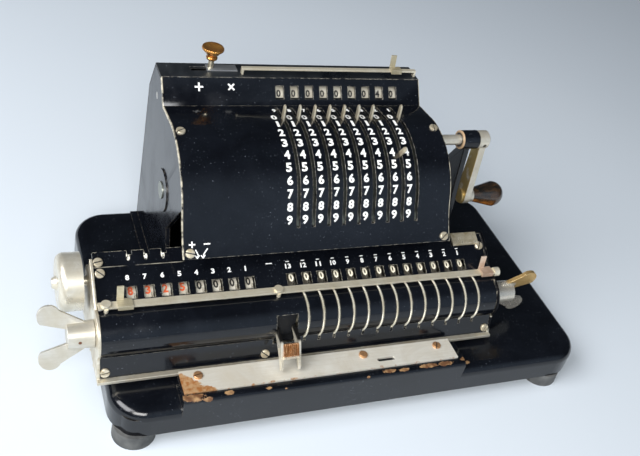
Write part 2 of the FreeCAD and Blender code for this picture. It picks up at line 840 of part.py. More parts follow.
def make_rotor():
    """The pinwheels: nine discs on one hub, and the gear that the crank drives."""
    half_gap = "(ring_thick / 2 + side_gap)"
    left_hub = "%s - pitch / 2" % column(COLUMNS)
    outline = [(left_hub, "rotor_shaft"), (left_hub, "rotor_hub")]
    for place in range(COLUMNS, 0, -1):
        left = "%s + %s" % (column(place), half_gap)
        right = "%s + pitch - %s" % (column(place), half_gap)
        outline += [(left, "rotor_hub"), (left, "pinwheel_radius"),
                    (right, "pinwheel_radius"), (right, "rotor_hub")]
    outline += [("gear_left", "rotor_hub"), ("gear_left", CRANK_GEAR),
                ("gear_left + gear_width", CRANK_GEAR), ("gear_left + gear_width", "rotor_shaft")]
    body = turned_about_x("pinwheel_rotor", outline, "pinwheel_y", "pinwheel_z")
    across = "slot_x + pitch - %s - pin_length" % half_gap
    pins = [pin_outline("pin_first_angle + %d * lever_step" % index) for index in range(PINS)]
    row = pad(body, sketch_in(body, "YZ_Plane", pins, offset=across), "pin_length")
    repeat_along_x(body, row, COLUMNS, "pitch")


def pin_outline(angle):
    """One pin of a pinwheel, standing out of its rim at an angle."""
    corners = []
    for along, out in (("-", "pinwheel_radius - pin_root"), ("-", "pin_reach"),
                       ("", "pin_reach"), ("", "pinwheel_radius - pin_root")):
        corners.append(("(%s) * cos(%s) - (%spin_width / 2) * sin(%s)" % (out, angle, along, angle),
                        "(%s) * sin(%s) + (%spin_width / 2) * cos(%s)" % (out, angle, along, angle)))
    return corners[::-1]


def make_transfer_gears():
    """Nine small gears that carry each pinwheel's turn down to its number wheel."""
    gears = []
    for place in range(1, COLUMNS + 1):
        gear = DOC.addObject("PartDesign::Body", "Body")
        outline = [("0", "cross_shaft + running_fit"), ("0", "transfer_radius"),
                   ("transfer_width", "transfer_radius"),
                   ("transfer_width", "cross_shaft + running_fit")]
        revolve(gear, sketch_in(gear, "XY_Plane", [outline]))
        notched(gear, WHEEL_TEETH, "transfer_radius", "tooth_depth", "0", "transfer_width")
        bind(gear, Base_x="%s + transfer_offset" % column(place), Base_y="transfer_y",
             Base_z="transfer_z")
        gears.append(gear)
    compound("transfer_gears", gears)


# --- crank -----------------------------------------------------------------------------------

HUB_LEFT = "(collar_left + collar_length + side_gap)"
ARM_LEFT = "(%s + hub_length / 2 - arm_thick / 2)" % HUB_LEFT


def make_crank_shaft():
    """The crank's shaft with its gear inside the body and its round hub outside."""
    stub, gear_right = "gear_left - shaft_stub", "gear_left + gear_width"
    hub_right = HUB_LEFT + " + hub_length"
    outline = [(stub, "0"), (stub, "crank_shaft"),
               ("gear_left", "crank_shaft"), ("gear_left", CRANK_GEAR),
               (gear_right, CRANK_GEAR), (gear_right, "crank_shaft"),
               (HUB_LEFT, "crank_shaft"), (HUB_LEFT, "hub_radius"),
               (hub_right + " - hub_round", "hub_radius"),
               (hub_right, "hub_radius - hub_round"), (hub_right, "0")]
    shaft = turned_about_x("crank_shaft", outline, "crank_y", "crank_z")
    notched(shaft, CRANK_TEETH, CRANK_GEAR, "tooth_depth", "gear_left", "gear_width")


def make_crank_arm():
    """The arm that hangs from the hub, with the pin that the handle turns on."""
    arm = body_named("crank_arm")
    half = "arm_width / 2"
    bar = [("-%s" % half, "0"), ("-arm_end", "-crank_throw", "0", "-crank_throw", 1),
           ("arm_end", "-crank_throw"), (half, "0")]
    pad(arm, sketch_in(arm, "YZ_Plane", [bar], offset=ARM_LEFT), "arm_thick")
    hub = [("0", "0", "hub_radius")]
    pocket(arm, sketch_in(arm, "YZ_Plane", circles=hub, offset=HUB_LEFT), reverse=True)
    boss_left, ferrule_left = ARM_LEFT + " - pin_head", ARM_LEFT + " + arm_thick"
    for left, length in ((boss_left, "pin_head"), (ferrule_left, "ferrule_length")):
        disc = [("0", "-crank_throw", "ferrule_radius")]
        pad(arm, sketch_in(arm, "YZ_Plane", circles=disc, offset=left), length)
    pin = [("0", "-crank_throw", "handle_pin")]
    pad(arm, sketch_in(arm, "YZ_Plane", circles=pin, offset=ferrule_left + " + ferrule_length"),
        "handle_length - handle_radius")
    turn(arm, "-crank_lean")
    bind(arm, Base_y="crank_y", Base_z="crank_z")


def make_crank_handle():
    """The egg handle, bored for the arm's pin."""
    bore = "handle_pin + running_fit"
    sphere = "handle_length - handle_radius"
    bore_end = sphere + " + handle_pin"
    grip = [("0", bore), ("0", "handle_neck"),
            (sphere, "handle_radius", sphere, "0", -1), ("handle_length", "0"),
            (bore_end, "0"), (bore_end, bore)]
    handle = turned_about_x("crank_handle", grip,
                            "crank_y - crank_throw * sin(crank_lean)",
                            "crank_z - crank_throw * cos(crank_lean)")
    bind(handle, Base_x=ARM_LEFT + " + arm_thick + ferrule_length + side_gap")


def make_crank_bracket():
    """The outer bearing of the crank: a collar on a plate that stands on the base."""
    bracket = body_named("crank_bracket")
    hole = ("crank_y", "crank_z", "crank_shaft + running_fit")
    ring = [("crank_y", "crank_z", "collar_radius"), hole]
    pad(bracket, sketch_in(bracket, "YZ_Plane", circles=ring, offset="collar_left"),
        "collar_length")
    front, rear = "crank_y - bracket_front", "crank_y + bracket_rear"
    shoulder = "crank_z - crank_shaft - running_fit - shoulder_clear"
    stand = [(front, DECK), (rear, DECK), (rear, "%s + bracket_foot" % DECK),
             ("crank_y + bracket_neck", shoulder), ("crank_y - bracket_neck", shoulder),
             (front, "%s + bracket_foot" % DECK)]
    left = "collar_left + collar_length / 2 - bracket_thick / 2"
    pad(bracket, sketch_in(bracket, "YZ_Plane", [stand], offset=left), "bracket_thick")
    pocket(bracket, sketch_in(bracket, "YZ_Plane", circles=[hole], offset=left),
           "bracket_thick", reverse=True)
    foot = box_outline(front, DECK, rear, "%s + bracket_thick" % DECK)
    pad(bracket, sketch_in(bracket, "YZ_Plane", [foot], offset=left), "bracket_flange")


# --- top ---------------------------------------------------------------------------------------

def make_mode_knob():
    """The brass knob on its stem, and the nickel slide that it stands on."""
    base = "top_z + slide_plate_thick"
    outline = [("0", "0"), ("knob_stem", "0"), ("knob_stem", "knob_height * knob_stem_share"),
               ("knob_neck", "knob_height * knob_neck_start"),
               ("knob_neck", "knob_height * knob_neck_end"),
               ("knob_radius", "knob_height - knob_rim"), ("knob_radius", "knob_height"),
               ("0", "knob_height")]
    knob = body_named("mode_knob")
    revolve(knob, sketch_in(knob, "XZ_Plane", [outline]), "V_Axis")
    bind(knob, Base_x="knob_x", Base_y="knob_y", Base_z=base)
    slide = body_named("mode_slide")
    plate = box_outline("slide_plate_left", "knob_y - slide_plate_width / 2",
                        "slide_plate_left + slide_plate_length",
                        "knob_y + slide_plate_width / 2")
    pad(slide, sketch_in(slide, "XY_Plane", [plate], offset="top_z + slide_gap"),
        "slide_plate_thick - slide_gap")
    tongue = box_outline("knob_x - knob_stem", "knob_y - knob_slot_width / 2 + slide_gap",
                         "knob_x + knob_stem", "knob_y + knob_slot_width / 2 - slide_gap")
    pad(slide, sketch_in(slide, "XY_Plane", [tongue], offset="top_z + slide_gap"),
        "cover_thick + tongue_clear", reverse=True)


def make_top_rail():
    """The bent wire-like rail along the top, and the marker that slides on it."""
    rail = body_named("top_rail")
    right = "top_rail_left + top_rail_length"
    high = "top_z + top_rail_height"
    shape = [("top_rail_left", "top_z"), ("top_rail_left + top_rail_thick", "top_z"),
             ("top_rail_left + top_rail_thick", high + " - top_rail_thick"),
             (right + " - top_rail_thick", high + " - top_rail_thick"),
             (right + " - top_rail_thick", "top_z"), (right, "top_z"),
             (right, high), ("top_rail_left", high)]
    pad(rail, sketch_in(rail, "XZ_Plane", [shape], offset="-top_rail_y - top_rail_width / 2"),
        "top_rail_width")
    make_rider("top_marker", "top_marker_x", "top_rail_y", high, "top_rail_width",
               "top_rail_thick", "top_marker_length", "top_marker_height")


def make_rider(label, middle, y, high, width, thick, length, height):
    """A spring-steel rider clasped round a flat rail, with a pointer that stands up."""
    rider = body_named(label)
    half = "%s / 2 + marker_gap" % width
    low = "%s - %s - marker_gap - marker_skirt" % (high, thick)
    top = "%s + marker_gap" % high
    front, rear = "%s - (%s)" % (y, half), "%s + %s" % (y, half)
    clasp = [(front, low), (front, top), (rear, top), (rear, high + " - " + thick),
             (rear + " + marker_thick", high + " - " + thick),
             (rear + " + marker_thick", top + " + marker_thick"),
             (front + " - marker_thick", top + " + marker_thick"),
             (front + " - marker_thick", low)]
    left = "%s - %s / 2" % (middle, length)
    pad(rider, sketch_in(rider, "YZ_Plane", [clasp], offset=left), length)
    tip = top + " + " + height
    pointer = [(rear, top), (rear + " + marker_thick", top),
               (rear + " + marker_thick + marker_lean", tip), (rear + " + marker_lean", tip)]
    pad(rider, sketch_in(rider, "YZ_Plane", [pointer], offset=left), "marker_pointer")


# --- carriage ------------------------------------------------------------------------------------

def face_point(along, out="0"):
    """A point on the sloping number face, measured down from its upper edge."""
    run = "(face_top_y - (%s))" % FACE_LOW_Y
    rise = "(face_top_z - (%s))" % FACE_LOW_Z
    length = "sqrt(%s^2 + %s^2)" % (run, rise)
    return ("face_top_y - (%s) * %s / %s - (%s) * %s / %s" % (along, run, length, out, rise, length),
            "face_top_z - (%s) * %s / %s + (%s) * %s / %s" % (along, rise, length, out, run, length))


def housing_path(inset):
    """Corners from the rear lip down the number face, round the barrel to the apron's foot."""
    radius = "(barrel_radius - (%s))" % inset
    valley = polar("barrel_y", "barrel_z", radius, "barrel_top_angle")
    return [("lip_y", "lip_z - (%s)" % inset),
            ("face_top_y + front_miter * (%s)" % inset, "face_top_z - (%s)" % inset),
            valley + ("barrel_y", "barrel_z", 1),
            polar("barrel_y", "barrel_z", radius, "barrel_low_angle"),
            ("apron_y + (%s)" % inset, "floor_z + floor_thick")]


def make_carriage_frame():
    """The floor plate with its guide lips, and the two end plates."""
    body = body_named("carriage_frame")
    low = "floor_z"
    lip_left = "guide_y - guide_width / 2 - slide_gap"
    lip_right = "guide_y + guide_width / 2 + slide_gap"
    floor = [("floor_front_y", low), (lip_left + " - lip_thick", low),
             (lip_left + " - lip_thick", low + " - lip_depth"), (lip_left, low + " - lip_depth"),
             (lip_left, low), (lip_right, low), (lip_right, low + " - lip_depth"),
             (lip_right + " + lip_thick", low + " - lip_depth"),
             (lip_right + " + lip_thick", low), ("floor_rear_y", low),
             ("floor_rear_y", low + " + floor_thick"), ("floor_front_y", low + " + floor_thick")]
    pad(body, sketch_in(body, "YZ_Plane", [floor], offset="carriage_left"), "carriage_length")
    end = housing_path("-end_proud")[:4]
    end += [("apron_y - end_proud", low), ("end_rear_y", low), ("end_rear_y", "end_rear_z"),
            ("lip_y + end_proud", "end_rear_z + end_rear_rise")]
    for left in ("carriage_left", CARRIAGE_RIGHT + " - end_thick"):
        holes = [("barrel_y", "barrel_z", "axle_radius + running_fit"),
                 ("wheel_y", "wheel_z", "wheel_shaft")]
        pad(body, sketch_in(body, "YZ_Plane", [end], offset=left), "end_thick")
        pocket(body, sketch_in(body, "YZ_Plane", circles=holes, offset=left), "end_thick",
               reverse=True)


def make_housing():
    """The carriage's sheet housing with its windows and the slots of the setting wheels."""
    outline = housing_path("0") + back_along(housing_path("housing_thick"))
    body = along_x("carriage_housing", [outline], "carriage_left + end_thick",
                   "carriage_length - 2 * end_thick")
    low, high = ("glass_down + glass_height / 2", "glass_down - glass_height / 2")
    window = [face_point(low, "1"), face_point(high, "1"),
              face_point(high, "-2 * housing_thick"), face_point(low, "-2 * housing_thick")]
    for first, count in (("result_x", RESULT_PLACES), ("counter_x", COUNTER_PLACES)):
        sketch = sketch_in(body, "YZ_Plane", [window],
                           offset="%s - wheel_left" % first)
        cut = pocket(body, sketch, "glass_width", reverse=True)
        repeat_along_x(body, cut, count, "pitch")
    first, last = "disc_first_angle", "disc_last_angle"
    inner, outer = "barrel_radius - 2 * housing_thick", "disc_radius + disc_slot_reach"
    slot = [polar("barrel_y", "barrel_z", outer, first) + ("barrel_y", "barrel_z", 1),
            polar("barrel_y", "barrel_z", outer, last),
            polar("barrel_y", "barrel_z", inner, last) + ("barrel_y", "barrel_z", -1),
            polar("barrel_y", "barrel_z", inner, first)]
    sketch = sketch_in(body, "YZ_Plane", [slot],
                       offset="result_x + disc_offset - disc_thick / 2 - disc_gap")
    cut = pocket(body, sketch, "disc_thick + 2 * disc_gap", reverse=True)
    repeat_along_x(body, cut, RESULT_PLACES, "pitch")
    strip = [("lip_y", "lip_z - housing_thick"), ("wide_lip_y", "wide_lip_z - housing_thick"),
             ("wide_lip_y", "wide_lip_z"), ("lip_y", "lip_z")]
    pad(body, sketch_in(body, "YZ_Plane", [strip], offset="carriage_left + end_thick"),
        "wide_lip_length")
    notches = [box_outline("%s - notch_width / 2" % x, "wide_lip_y - notch_depth",
                           "%s + notch_width / 2" % x, "wide_lip_y + notch_clear")
               for x in ("notch_x", "(notch_x + pitch)", "(notch_x + 2 * pitch)")]
    pocket(body, sketch_in(body, "XY_Plane", notches, offset="wide_lip_z"), "4 * housing_thick")
    recess = box_outline("-key_width / 2 - key_thick - side_gap", "key_pivot_z - recess_drop",
                         "key_width / 2 + key_thick + side_gap", "key_pivot_z + recess_rise")
    recess = [("key_x + (%s)" % x, z) for x, z in recess]
    pocket(body, sketch_in(body, "XZ_Plane", [recess], offset="-barrel_y"), "base_depth",
           reverse=True)


def make_number_wheel(body):
    """A number drum with its ten-toothed gear on the right, about the local origin."""
    bore = "wheel_shaft + running_fit"
    right = "(wheel_drum - wheel_left)"
    outline = [("-wheel_left", bore), ("-wheel_left", "wheel_radius"),
               (right, "wheel_radius"), (right, WHEEL_GEAR),
               (right + " + wheel_gear", WHEEL_GEAR), (right + " + wheel_gear", bore)]
    revolve(body, sketch_in(body, "XY_Plane", [outline]))
    notched(body, WHEEL_TEETH, WHEEL_GEAR, "wheel_tooth", right, "wheel_gear")
    bind(body, Base_y="wheel_y", Base_z="wheel_z")


def make_counter_wheels():
    """The eight wheels of the revolution counter, each on its own."""
    for place in range(1, COUNTER_PLACES + 1):
        body = body_named("counter_wheel_%d" % place)
        make_number_wheel(body)
        bind(body, Base_x="counter_x - %d * pitch" % (place - 1))


def make_result_wheels():
    """The thirteen wheels of the result register, and the knurled discs that set them."""
    wheels, discs = [], []
    for place in range(1, RESULT_PLACES + 1):
        x = "result_x - %d * pitch" % (place - 1)
        wheel = DOC.addObject("PartDesign::Body", "Body")
        make_number_wheel(wheel)
        bind(wheel, Base_x=x)
        wheels.append(wheel)
        disc = DOC.addObject("PartDesign::Body", "Body")
        bore = "axle_radius + running_fit"
        pinion_left = "wheel_drum - wheel_left"
        disc_left = "disc_offset - disc_thick / 2"
        outline = [(pinion_left, bore), (pinion_left, WHEEL_PINION), (disc_left, WHEEL_PINION),
                   (disc_left, "disc_radius"), (disc_left + " + disc_thick", "disc_radius"),
                   (disc_left + " + disc_thick", bore)]
        revolve(disc, sketch_in(disc, "XY_Plane", [outline]))
        bind(disc, Base_x=x, Base_y="barrel_y", Base_z="barrel_z")
        discs.append(disc)
    compound("result_wheels", wheels)
    compound("result_setting_wheels", discs)


def make_axles():
    """The number wheels' axle, and the two clearing shafts' shared front axle."""
    number_axle = DOC.addObject("Part::Cylinder", "Axle")
    number_axle.Placement = Placement(Vector(), Rotation(Vector(0, 1, 0), 90))
    bind(number_axle, Radius="wheel_shaft", Height="carriage_length", Base_x="carriage_left",
         Base_y="wheel_y", Base_z="wheel_z")
    front_axle = DOC.addObject("Part::Cylinder", "Axle")
    front_axle.Placement = Placement(Vector(), Rotation(Vector(0, 1, 0), 90))
    bind(front_axle, Radius="axle_radius", Height="carriage_length + 2 * axle_end",
         Base_x="carriage_left - axle_end", Base_y="barrel_y", Base_z="barrel_z")
    compound("wheel_axles", [number_axle, front_axle])


def make_wing_nut(label, inner_face, gap, half_turn, tilt):
    """A clearing wing nut: a hub with two rounded wings that stand out past its end."""
    body = body_named(label)
    hub = [("0", "axle_radius + running_fit"), ("0", "wing_hub_radius"),
           ("wing_hub_length", "wing_hub_radius * wing_hub_taper"), ("wing_hub_length", "0"),
           ("axle_end - %s + side_gap" % gap, "0"),
           ("axle_end - %s + side_gap" % gap, "axle_radius + running_fit")]
    revolve(body, sketch_in(body, "XY_Plane", [hub]))
    for side in (1, -1):
        wing = wing_outline(side)
        pad(body, sketch_in(body, "XZ_Plane", [wing]), "wing_thick", midplane=True)
    facing = Rotation(Vector(0, 0, 1), half_turn)
    body.Placement = Placement(Vector(), Rotation(Vector(1, 0, 0), number(tilt)) * facing)
    bind(body, Base_x=inner_face, Base_y="barrel_y", Base_z="barrel_z")


def wing_outline(side):
    """One wing: from the hub's end outwards to a round lobe."""
    lobe_x = "(wing_hub_length + wing_reach - wing_lobe)"
    lobe_z = "(%d * wing_spread)" % side
    root = "%d * wing_hub_radius" % side
    inner = "%d * (axle_radius + wing_root_clear)" % side
    corners = [("wing_hub_length * wing_root_share", inner), ("wing_hub_length", inner),
               ("%s + wing_lobe * cos(-wing_lobe_first * %d)" % (lobe_x, side),
                "%s + wing_lobe * sin(-wing_lobe_first * %d)" % (lobe_z, side), lobe_x, lobe_z, side),
               ("%s + wing_lobe * cos(wing_lobe_last * %d)" % (lobe_x, side),
                "%s + wing_lobe * sin(wing_lobe_last * %d)" % (lobe_z, side)),
               ("wing_hub_length * wing_root_share", root)]
    return corners


def make_bell():
    """The bell on the carriage's left end: a turned cup on its stud, with a crown nut."""
    body = body_named("bell")
    rim = "bell_standoff"
    back = "bell_standoff + bell_depth"
    outline = [("0", "0"), ("0", "bell_stud"), (back + " - bell_wall", "bell_stud"),
               (back + " - bell_wall", "bell_radius - bell_round - bell_wall"),
               (back + " - bell_round", "bell_radius - bell_wall"), (rim, "bell_radius - bell_wall"),
               (rim, "bell_radius"), (back + " - bell_round", "bell_radius", back + " - bell_round",
                                      "bell_radius - bell_round", -1),
               (back, "bell_radius - bell_round"), (back, "bell_nut"),
               (back + " + bell_nut_height", "bell_nut * bell_nut_taper"),
               (back + " + bell_nut_height", "0")]
    revolve(body, sketch_in(body, "XY_Plane", [outline]))
    body.Placement = Placement(Vector(), Rotation(Vector(0, 0, 1), HALF_TURN))
    bind(body, Base_x="carriage_left", Base_y="bell_y", Base_z="bell_z")


def make_decimal_rail():
    """The flat rail over the valley of the housing on three posts, with two markers."""
    body = body_named("decimal_rail")
    low = "rail_z - rail_thick / 2"
    flat = box_outline("rail_y - rail_width / 2", low, "rail_y + rail_width / 2",
                       "rail_z + rail_thick / 2")
    left = "carriage_left + end_thick"
    pad(body, sketch_in(body, "YZ_Plane", [flat], offset=left), "carriage_length - end_thick")
    posts = [(left + " + rail_inset", "rail_post_y", "rail_post_radius"),
             ("rail_post_x", "rail_post_y", "rail_post_radius")]
    pad(body, sketch_in(body, "XY_Plane", circles=posts, offset="barrel_z + barrel_radius"),
        "%s - (barrel_z + barrel_radius)" % low)
    heads = [(x, "rail_y", "screw_head") for x, y, r in posts]
    pad(body, sketch_in(body, "XY_Plane", circles=heads, offset="rail_z + rail_thick / 2"),
        "screw_height")
    high = "rail_z + rail_thick / 2"
    nut = [("rail_y", "rail_z - rail_thick / 2", "rail_width / 2 + rail_nut_rise")]
    pad(body, sketch_in(body, "YZ_Plane", circles=nut, offset=CARRIAGE_RIGHT), "rail_nut")
    for label, middle in (("decimal_marker_left", "left_marker_x"),
                          ("decimal_marker_right", "right_marker_x")):
        make_rider(label, middle, "rail_y", high, "rail_width", "rail_thick",
                   "marker_length", "marker_height")


def make_shift_key():
    """The key that frees the carriage: two pointed cheeks joined by a finger web."""
    body = body_named("shift_key")
    pivot = ("key_pivot_y", "key_pivot_z")
    cheek = [("key_pivot_y", "key_pivot_z + key_cheek", "key_pivot_y", "key_pivot_z", 1),
             ("key_pivot_y - key_cheek", "key_pivot_z"),
             ("key_web_y", "key_pivot_z"), ("key_front_y", "key_foot_z + key_web_rise"),
             ("key_front_y", "key_foot_z"), ("key_front_y + key_tip", "key_foot_z"),
             ("key_web_y + key_web_back", "key_pivot_z - key_cheek"),
             ("key_pivot_y + key_cheek / 2", "key_pivot_z - key_cheek / 2"),
             ("key_pivot_y + key_cheek / 2", "key_pivot_z + key_cheek")]
    hole = [pivot + ("key_pin + running_fit",)]
    for left in ("key_x - key_width / 2 - key_thick", "key_x + key_width / 2"):
        pad(body, sketch_in(body, "YZ_Plane", [cheek], hole, left), "key_thick")
    web = [("key_front_y", "key_foot_z + key_web_rise"), ("key_web_y", "key_pivot_z"),
           ("key_web_y + key_thick", "key_pivot_z"),
           ("key_front_y + key_thick", "key_foot_z + key_web_rise")]
    pad(body, sketch_in(body, "YZ_Plane", [web], offset="key_x - key_width / 2"), "key_width")


def make_detent_bracket():
    """The nickel spring bracket at the rear right of the carriage."""
    body = body_named("detent_bracket")
    outline = [("lip_y", "lip_z"), ("lip_y - detent_depth", "lip_z - detent_drop"),
               ("lip_y - detent_depth", "lip_z - detent_drop + cover_thick"),
               ("lip_y", "lip_z + cover_thick")]
    pad(body, sketch_in(body, "YZ_Plane", [outline], offset="detent_x"), "detent_length")


# --- fasteners -------------------------------------------------------------------------------------

def screw_solid(place, out):
    """A slotted cheese-head screw that stands on a surface, its head pointing `out`."""
    radius, height = number("screw_head"), number("screw_height")
    head = Part.makeCylinder(radius, height)
    width = number("screw_slot")
    slot = Part.makeBox(2 * radius, width, height, Vector(-radius, -width / 2, height / 2))
    screw = head.cut(slot)
    screw.Placement = Placement(place, Rotation(Vector(0, 0, 1), out))
    return screw


def vector(x, y, z):
    """A point given by three expressions."""
    return Vector(number(x), number(y), number(z))


def make_frame_screws():
    """Screws of the base strip and of the front cover."""
    up = Vector(0, 0, 1)
    strip = "%s + strip_front_gap + strip_width - strip_screw_inset" % FRONT
    places = [(vector("strip_left + " + along, strip, PLATFORM_TOP + " + strip_thick"), up)
              for along in ("strip_screw_left", "strip_screw_middle", "strip_screw_right")]
    for x in ("body_left + screw_inset", "body_right - screw_inset"):
        y, z = polar("pinwheel_y", "pinwheel_z", "cover_radius", "screw_angle")
        out = Vector(0, number("cos(screw_angle)"), number("sin(screw_angle)"))
        places.append((vector(x, y, z), out))
        lip = "flare_angle + 180 - flare_turn + screw_lip_angle"
        y, z = polar(FLARE_Y, FLARE_Z, "flare_radius - screw_seat", lip)
        out = Vector(0, number("-cos(%s)" % lip), number("-sin(%s)" % lip))
        places.append((vector(x, y, z), out))
    group("frame_screws", [screw_solid(place, out) for place, out in places])


def make_carriage_screws():
    """Screws that hold the carriage's housing to its end plates and floor."""
    places = ["carriage_left + end_thick + apron_screw_inset", "key_x - apron_screw_gap",
              CARRIAGE_RIGHT + " - end_thick - apron_screw_inset"]
    foot_z = "(floor_z + floor_thick)"
    low_y, low_z = polar("barrel_y", "barrel_z", "barrel_radius", "barrel_low_angle")
    lean = "((%s) - apron_y) / ((%s) - %s)" % (low_y, low_z, foot_z)
    y = "apron_y + (apron_screw_z - %s) * %s" % (foot_z, lean)
    out = Vector(0, -1, number(lean))
    group("carriage_screws",
          [screw_solid(vector(x, y, "apron_screw_z"), out) for x in places])


# --- the whole calculator ----------------------------------------------------------------

make_base()
make_feet()
make_track_strip()
make_front_cover()
make_rear_cover()
make_side_plates()
make_cross_shafts()
for number_from_right in range(1, COLUMNS + 1):
    make_lever(number_from_right)
    make_check_dial(number_from_right)
make_rotor_axle()
make_rotor()
make_transfer_gears()
make_crank_shaft()
make_crank_arm()
make_crank_handle()
make_crank_bracket()
make_mode_knob()
make_top_rail()
make_carriage_frame()
make_housing()
make_counter_wheels()
make_result_wheels()
make_axles()
make_wing_nut("wing_nut_left", "carriage_left - side_gap", "side_gap", HALF_TURN,
              "wing_left_tilt")
make_wing_nut("wing_nut_right", CARRIAGE_RIGHT + " + wing_right_gap", "wing_right_gap", 0,
              "wing_right_tilt")
make_bell()
make_decimal_rail()
make_shift_key()
make_detent_bracket()
make_frame_screws()
make_carriage_screws()
DOC.recompute()

for thing in DOC.Objects:
    if "Invalid" in thing.State or "Error" in thing.State:
        raise RuntimeError("%s (%s) failed: %s" % (thing.Name, thing.Label, thing.State))
for piece in NODES:
    if piece.Shape.isNull() or not piece.Shape.isValid():
        raise RuntimeError("%s has no valid shape" % piece.Label)

os.makedirs("parts", exist_ok=True)
for piece in NODES:
    piece.Shape.exportStep("parts/%s.step" % piece.Label)
    box = piece.Shape.BoundBox
    print("%-24s %3d solids  %9.1f mm3  x %7.1f %7.1f  y %6.1f %6.1f  z %6.1f %6.1f" % (
        piece.Label, len(piece.Shape.Solids), piece.Shape.Volume,
        box.XMin, box.XMax, box.YMin, box.YMax, box.ZMin, box.ZMax))
print("%d nodes" % len(NODES))
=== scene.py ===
# %% [markdown]
# # Dressing a pinwheel calculator
# A pinwheel calculator is an office machine of about 1930: setting levers in a curved
# cover, a carriage of number wheels that slides in front of it, and a crank. The packed
# frame already holds every solid at its real place, each on its own moving body. This
# lesson gives the frame its finishes and adds the fine work that plain solids lack:
# painted figures, toothed rims, rolled edges and chipped lacquer.

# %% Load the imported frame
import functools
import json
import math

import bmesh
import bpy
import numpy as np
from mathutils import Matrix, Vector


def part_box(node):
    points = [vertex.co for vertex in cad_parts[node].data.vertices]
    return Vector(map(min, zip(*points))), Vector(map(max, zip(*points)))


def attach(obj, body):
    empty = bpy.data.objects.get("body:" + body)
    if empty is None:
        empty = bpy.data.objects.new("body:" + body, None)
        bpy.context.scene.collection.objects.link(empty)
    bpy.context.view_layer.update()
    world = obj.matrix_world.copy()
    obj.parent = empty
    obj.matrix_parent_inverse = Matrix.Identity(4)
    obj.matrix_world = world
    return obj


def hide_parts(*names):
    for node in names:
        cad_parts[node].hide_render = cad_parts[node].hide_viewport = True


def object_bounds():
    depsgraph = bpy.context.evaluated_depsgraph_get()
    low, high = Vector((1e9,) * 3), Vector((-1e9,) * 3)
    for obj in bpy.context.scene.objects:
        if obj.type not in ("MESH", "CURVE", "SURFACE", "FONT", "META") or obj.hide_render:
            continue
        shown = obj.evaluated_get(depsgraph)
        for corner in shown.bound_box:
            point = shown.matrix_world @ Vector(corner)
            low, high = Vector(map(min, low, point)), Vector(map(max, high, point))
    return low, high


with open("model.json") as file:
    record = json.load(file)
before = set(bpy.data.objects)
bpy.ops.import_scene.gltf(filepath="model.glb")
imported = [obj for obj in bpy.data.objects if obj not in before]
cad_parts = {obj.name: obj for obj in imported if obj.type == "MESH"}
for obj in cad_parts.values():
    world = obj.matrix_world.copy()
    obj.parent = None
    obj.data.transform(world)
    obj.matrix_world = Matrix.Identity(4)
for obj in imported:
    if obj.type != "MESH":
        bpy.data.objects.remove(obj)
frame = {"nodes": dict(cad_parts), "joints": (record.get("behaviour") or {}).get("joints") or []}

NODES = frame["nodes"]
JOINTS = {joint["name"]: joint for joint in frame["joints"]}
scene = bpy.context.scene
cad_low, cad_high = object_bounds()

# %% [markdown]
# ## Measures come from the frame
# Every length below is in millimetres, because the machine was drawn in them. Places are
# read from the frame: a hinge gives the line that a drum turns about, and a solid's box
# gives its two ends. So a new piece always fits the one that carries it.

# %% Read the machine's places
MM = 0.001


def corners(name):
    """The lowest and highest corner of a frame solid, in millimetres."""
    low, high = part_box(name)
    return np.array(low) / MM, np.array(high) / MM


def middle(name):
    """The middle of a frame solid's box, in millimetres."""
    return sum(corners(name)) / 2


def hinge(name):
    """The (y, z) of the line along X that a joint turns about, in millimetres."""
    return np.array(JOINTS[name]["pos_m"][1:]) / MM


DRUM, DIAL = hinge("lever_1_turn"), hinge("dial_1_turn")
BARREL, WHEEL = hinge("setting_discs_turn"), hinge("result_drums_turn")
SLOTS = [middle("setting_lever_%d" % place)[0] for place in range(1, 10)]
PITCH = SLOTS[0] - SLOTS[1]
BODY_LEFT, BODY_RIGHT = (corner[0] for corner in corners("front_cover"))
print("columns are %.2f mm apart, from x %.1f to %.1f" % (PITCH, SLOTS[-1], SLOTS[0]))

# %% [markdown]
# ## Camera, floor and light
# The camera looks down on the machine from the front left. The floor is one pale sheet,
# and two broad soft lamps light it from the left. Gloss black shows little but what it
# reflects, so the lamps hang where the covers don't mirror them into the camera, and the
# room itself is dark but for a soft blue glow low in front, which rounds the drum.

# %% Place the camera
camera = bpy.data.objects.new("camera", bpy.data.cameras.new("camera"))
scene.collection.objects.link(camera)
camera.location = (-0.19785, -0.35451, 0.38826)
camera.rotation_euler = [math.radians(turn) for turn in (51.2456, -12.0767, -19.6251)]
camera.data.lens, camera.data.sensor_width = 47.896, 36.0
camera.data.clip_start = 0.01
scene.camera = camera
print("camera %.0f mm lens" % camera.data.lens)

# %% Hang the lamps
LAMPS = {
    # name: (place in metres, width, depth, watts, colour)
    "window": ((-1.05, -0.25, 1.05), 1.0, 0.8, 26.0, (0.97, 0.98, 1.0)),
    "front": ((-0.55, -1.15, 1.00), 0.8, 0.6, 22.0, (1.0, 0.99, 0.96)),
}
for name, (place, width, depth, watts, colour) in LAMPS.items():
    light = bpy.data.lights.new(name, "AREA")
    light.shape, light.size, light.size_y = "RECTANGLE", width, depth
    light.energy, light.color = watts, colour
    lamp = bpy.data.objects.new(name, light)
    lamp.location = place
    towards = (cad_low + cad_high) / 2 - lamp.location
    lamp.rotation_euler = towards.to_track_quat("-Z", "Y").to_euler()
    scene.collection.objects.link(lamp)
print(len(LAMPS), "lamps")

# %% [markdown]
# ## A shorthand for shader nodes
# A material is a small network. Writing each node by hand takes four lines, so this
# helper makes one node and fills its inputs: a plain value is set on the socket, and
# another node's output is linked to it. The kinds of node that come back often get a
# helper each, which gives the answer straight away.

# %% Define the node helpers


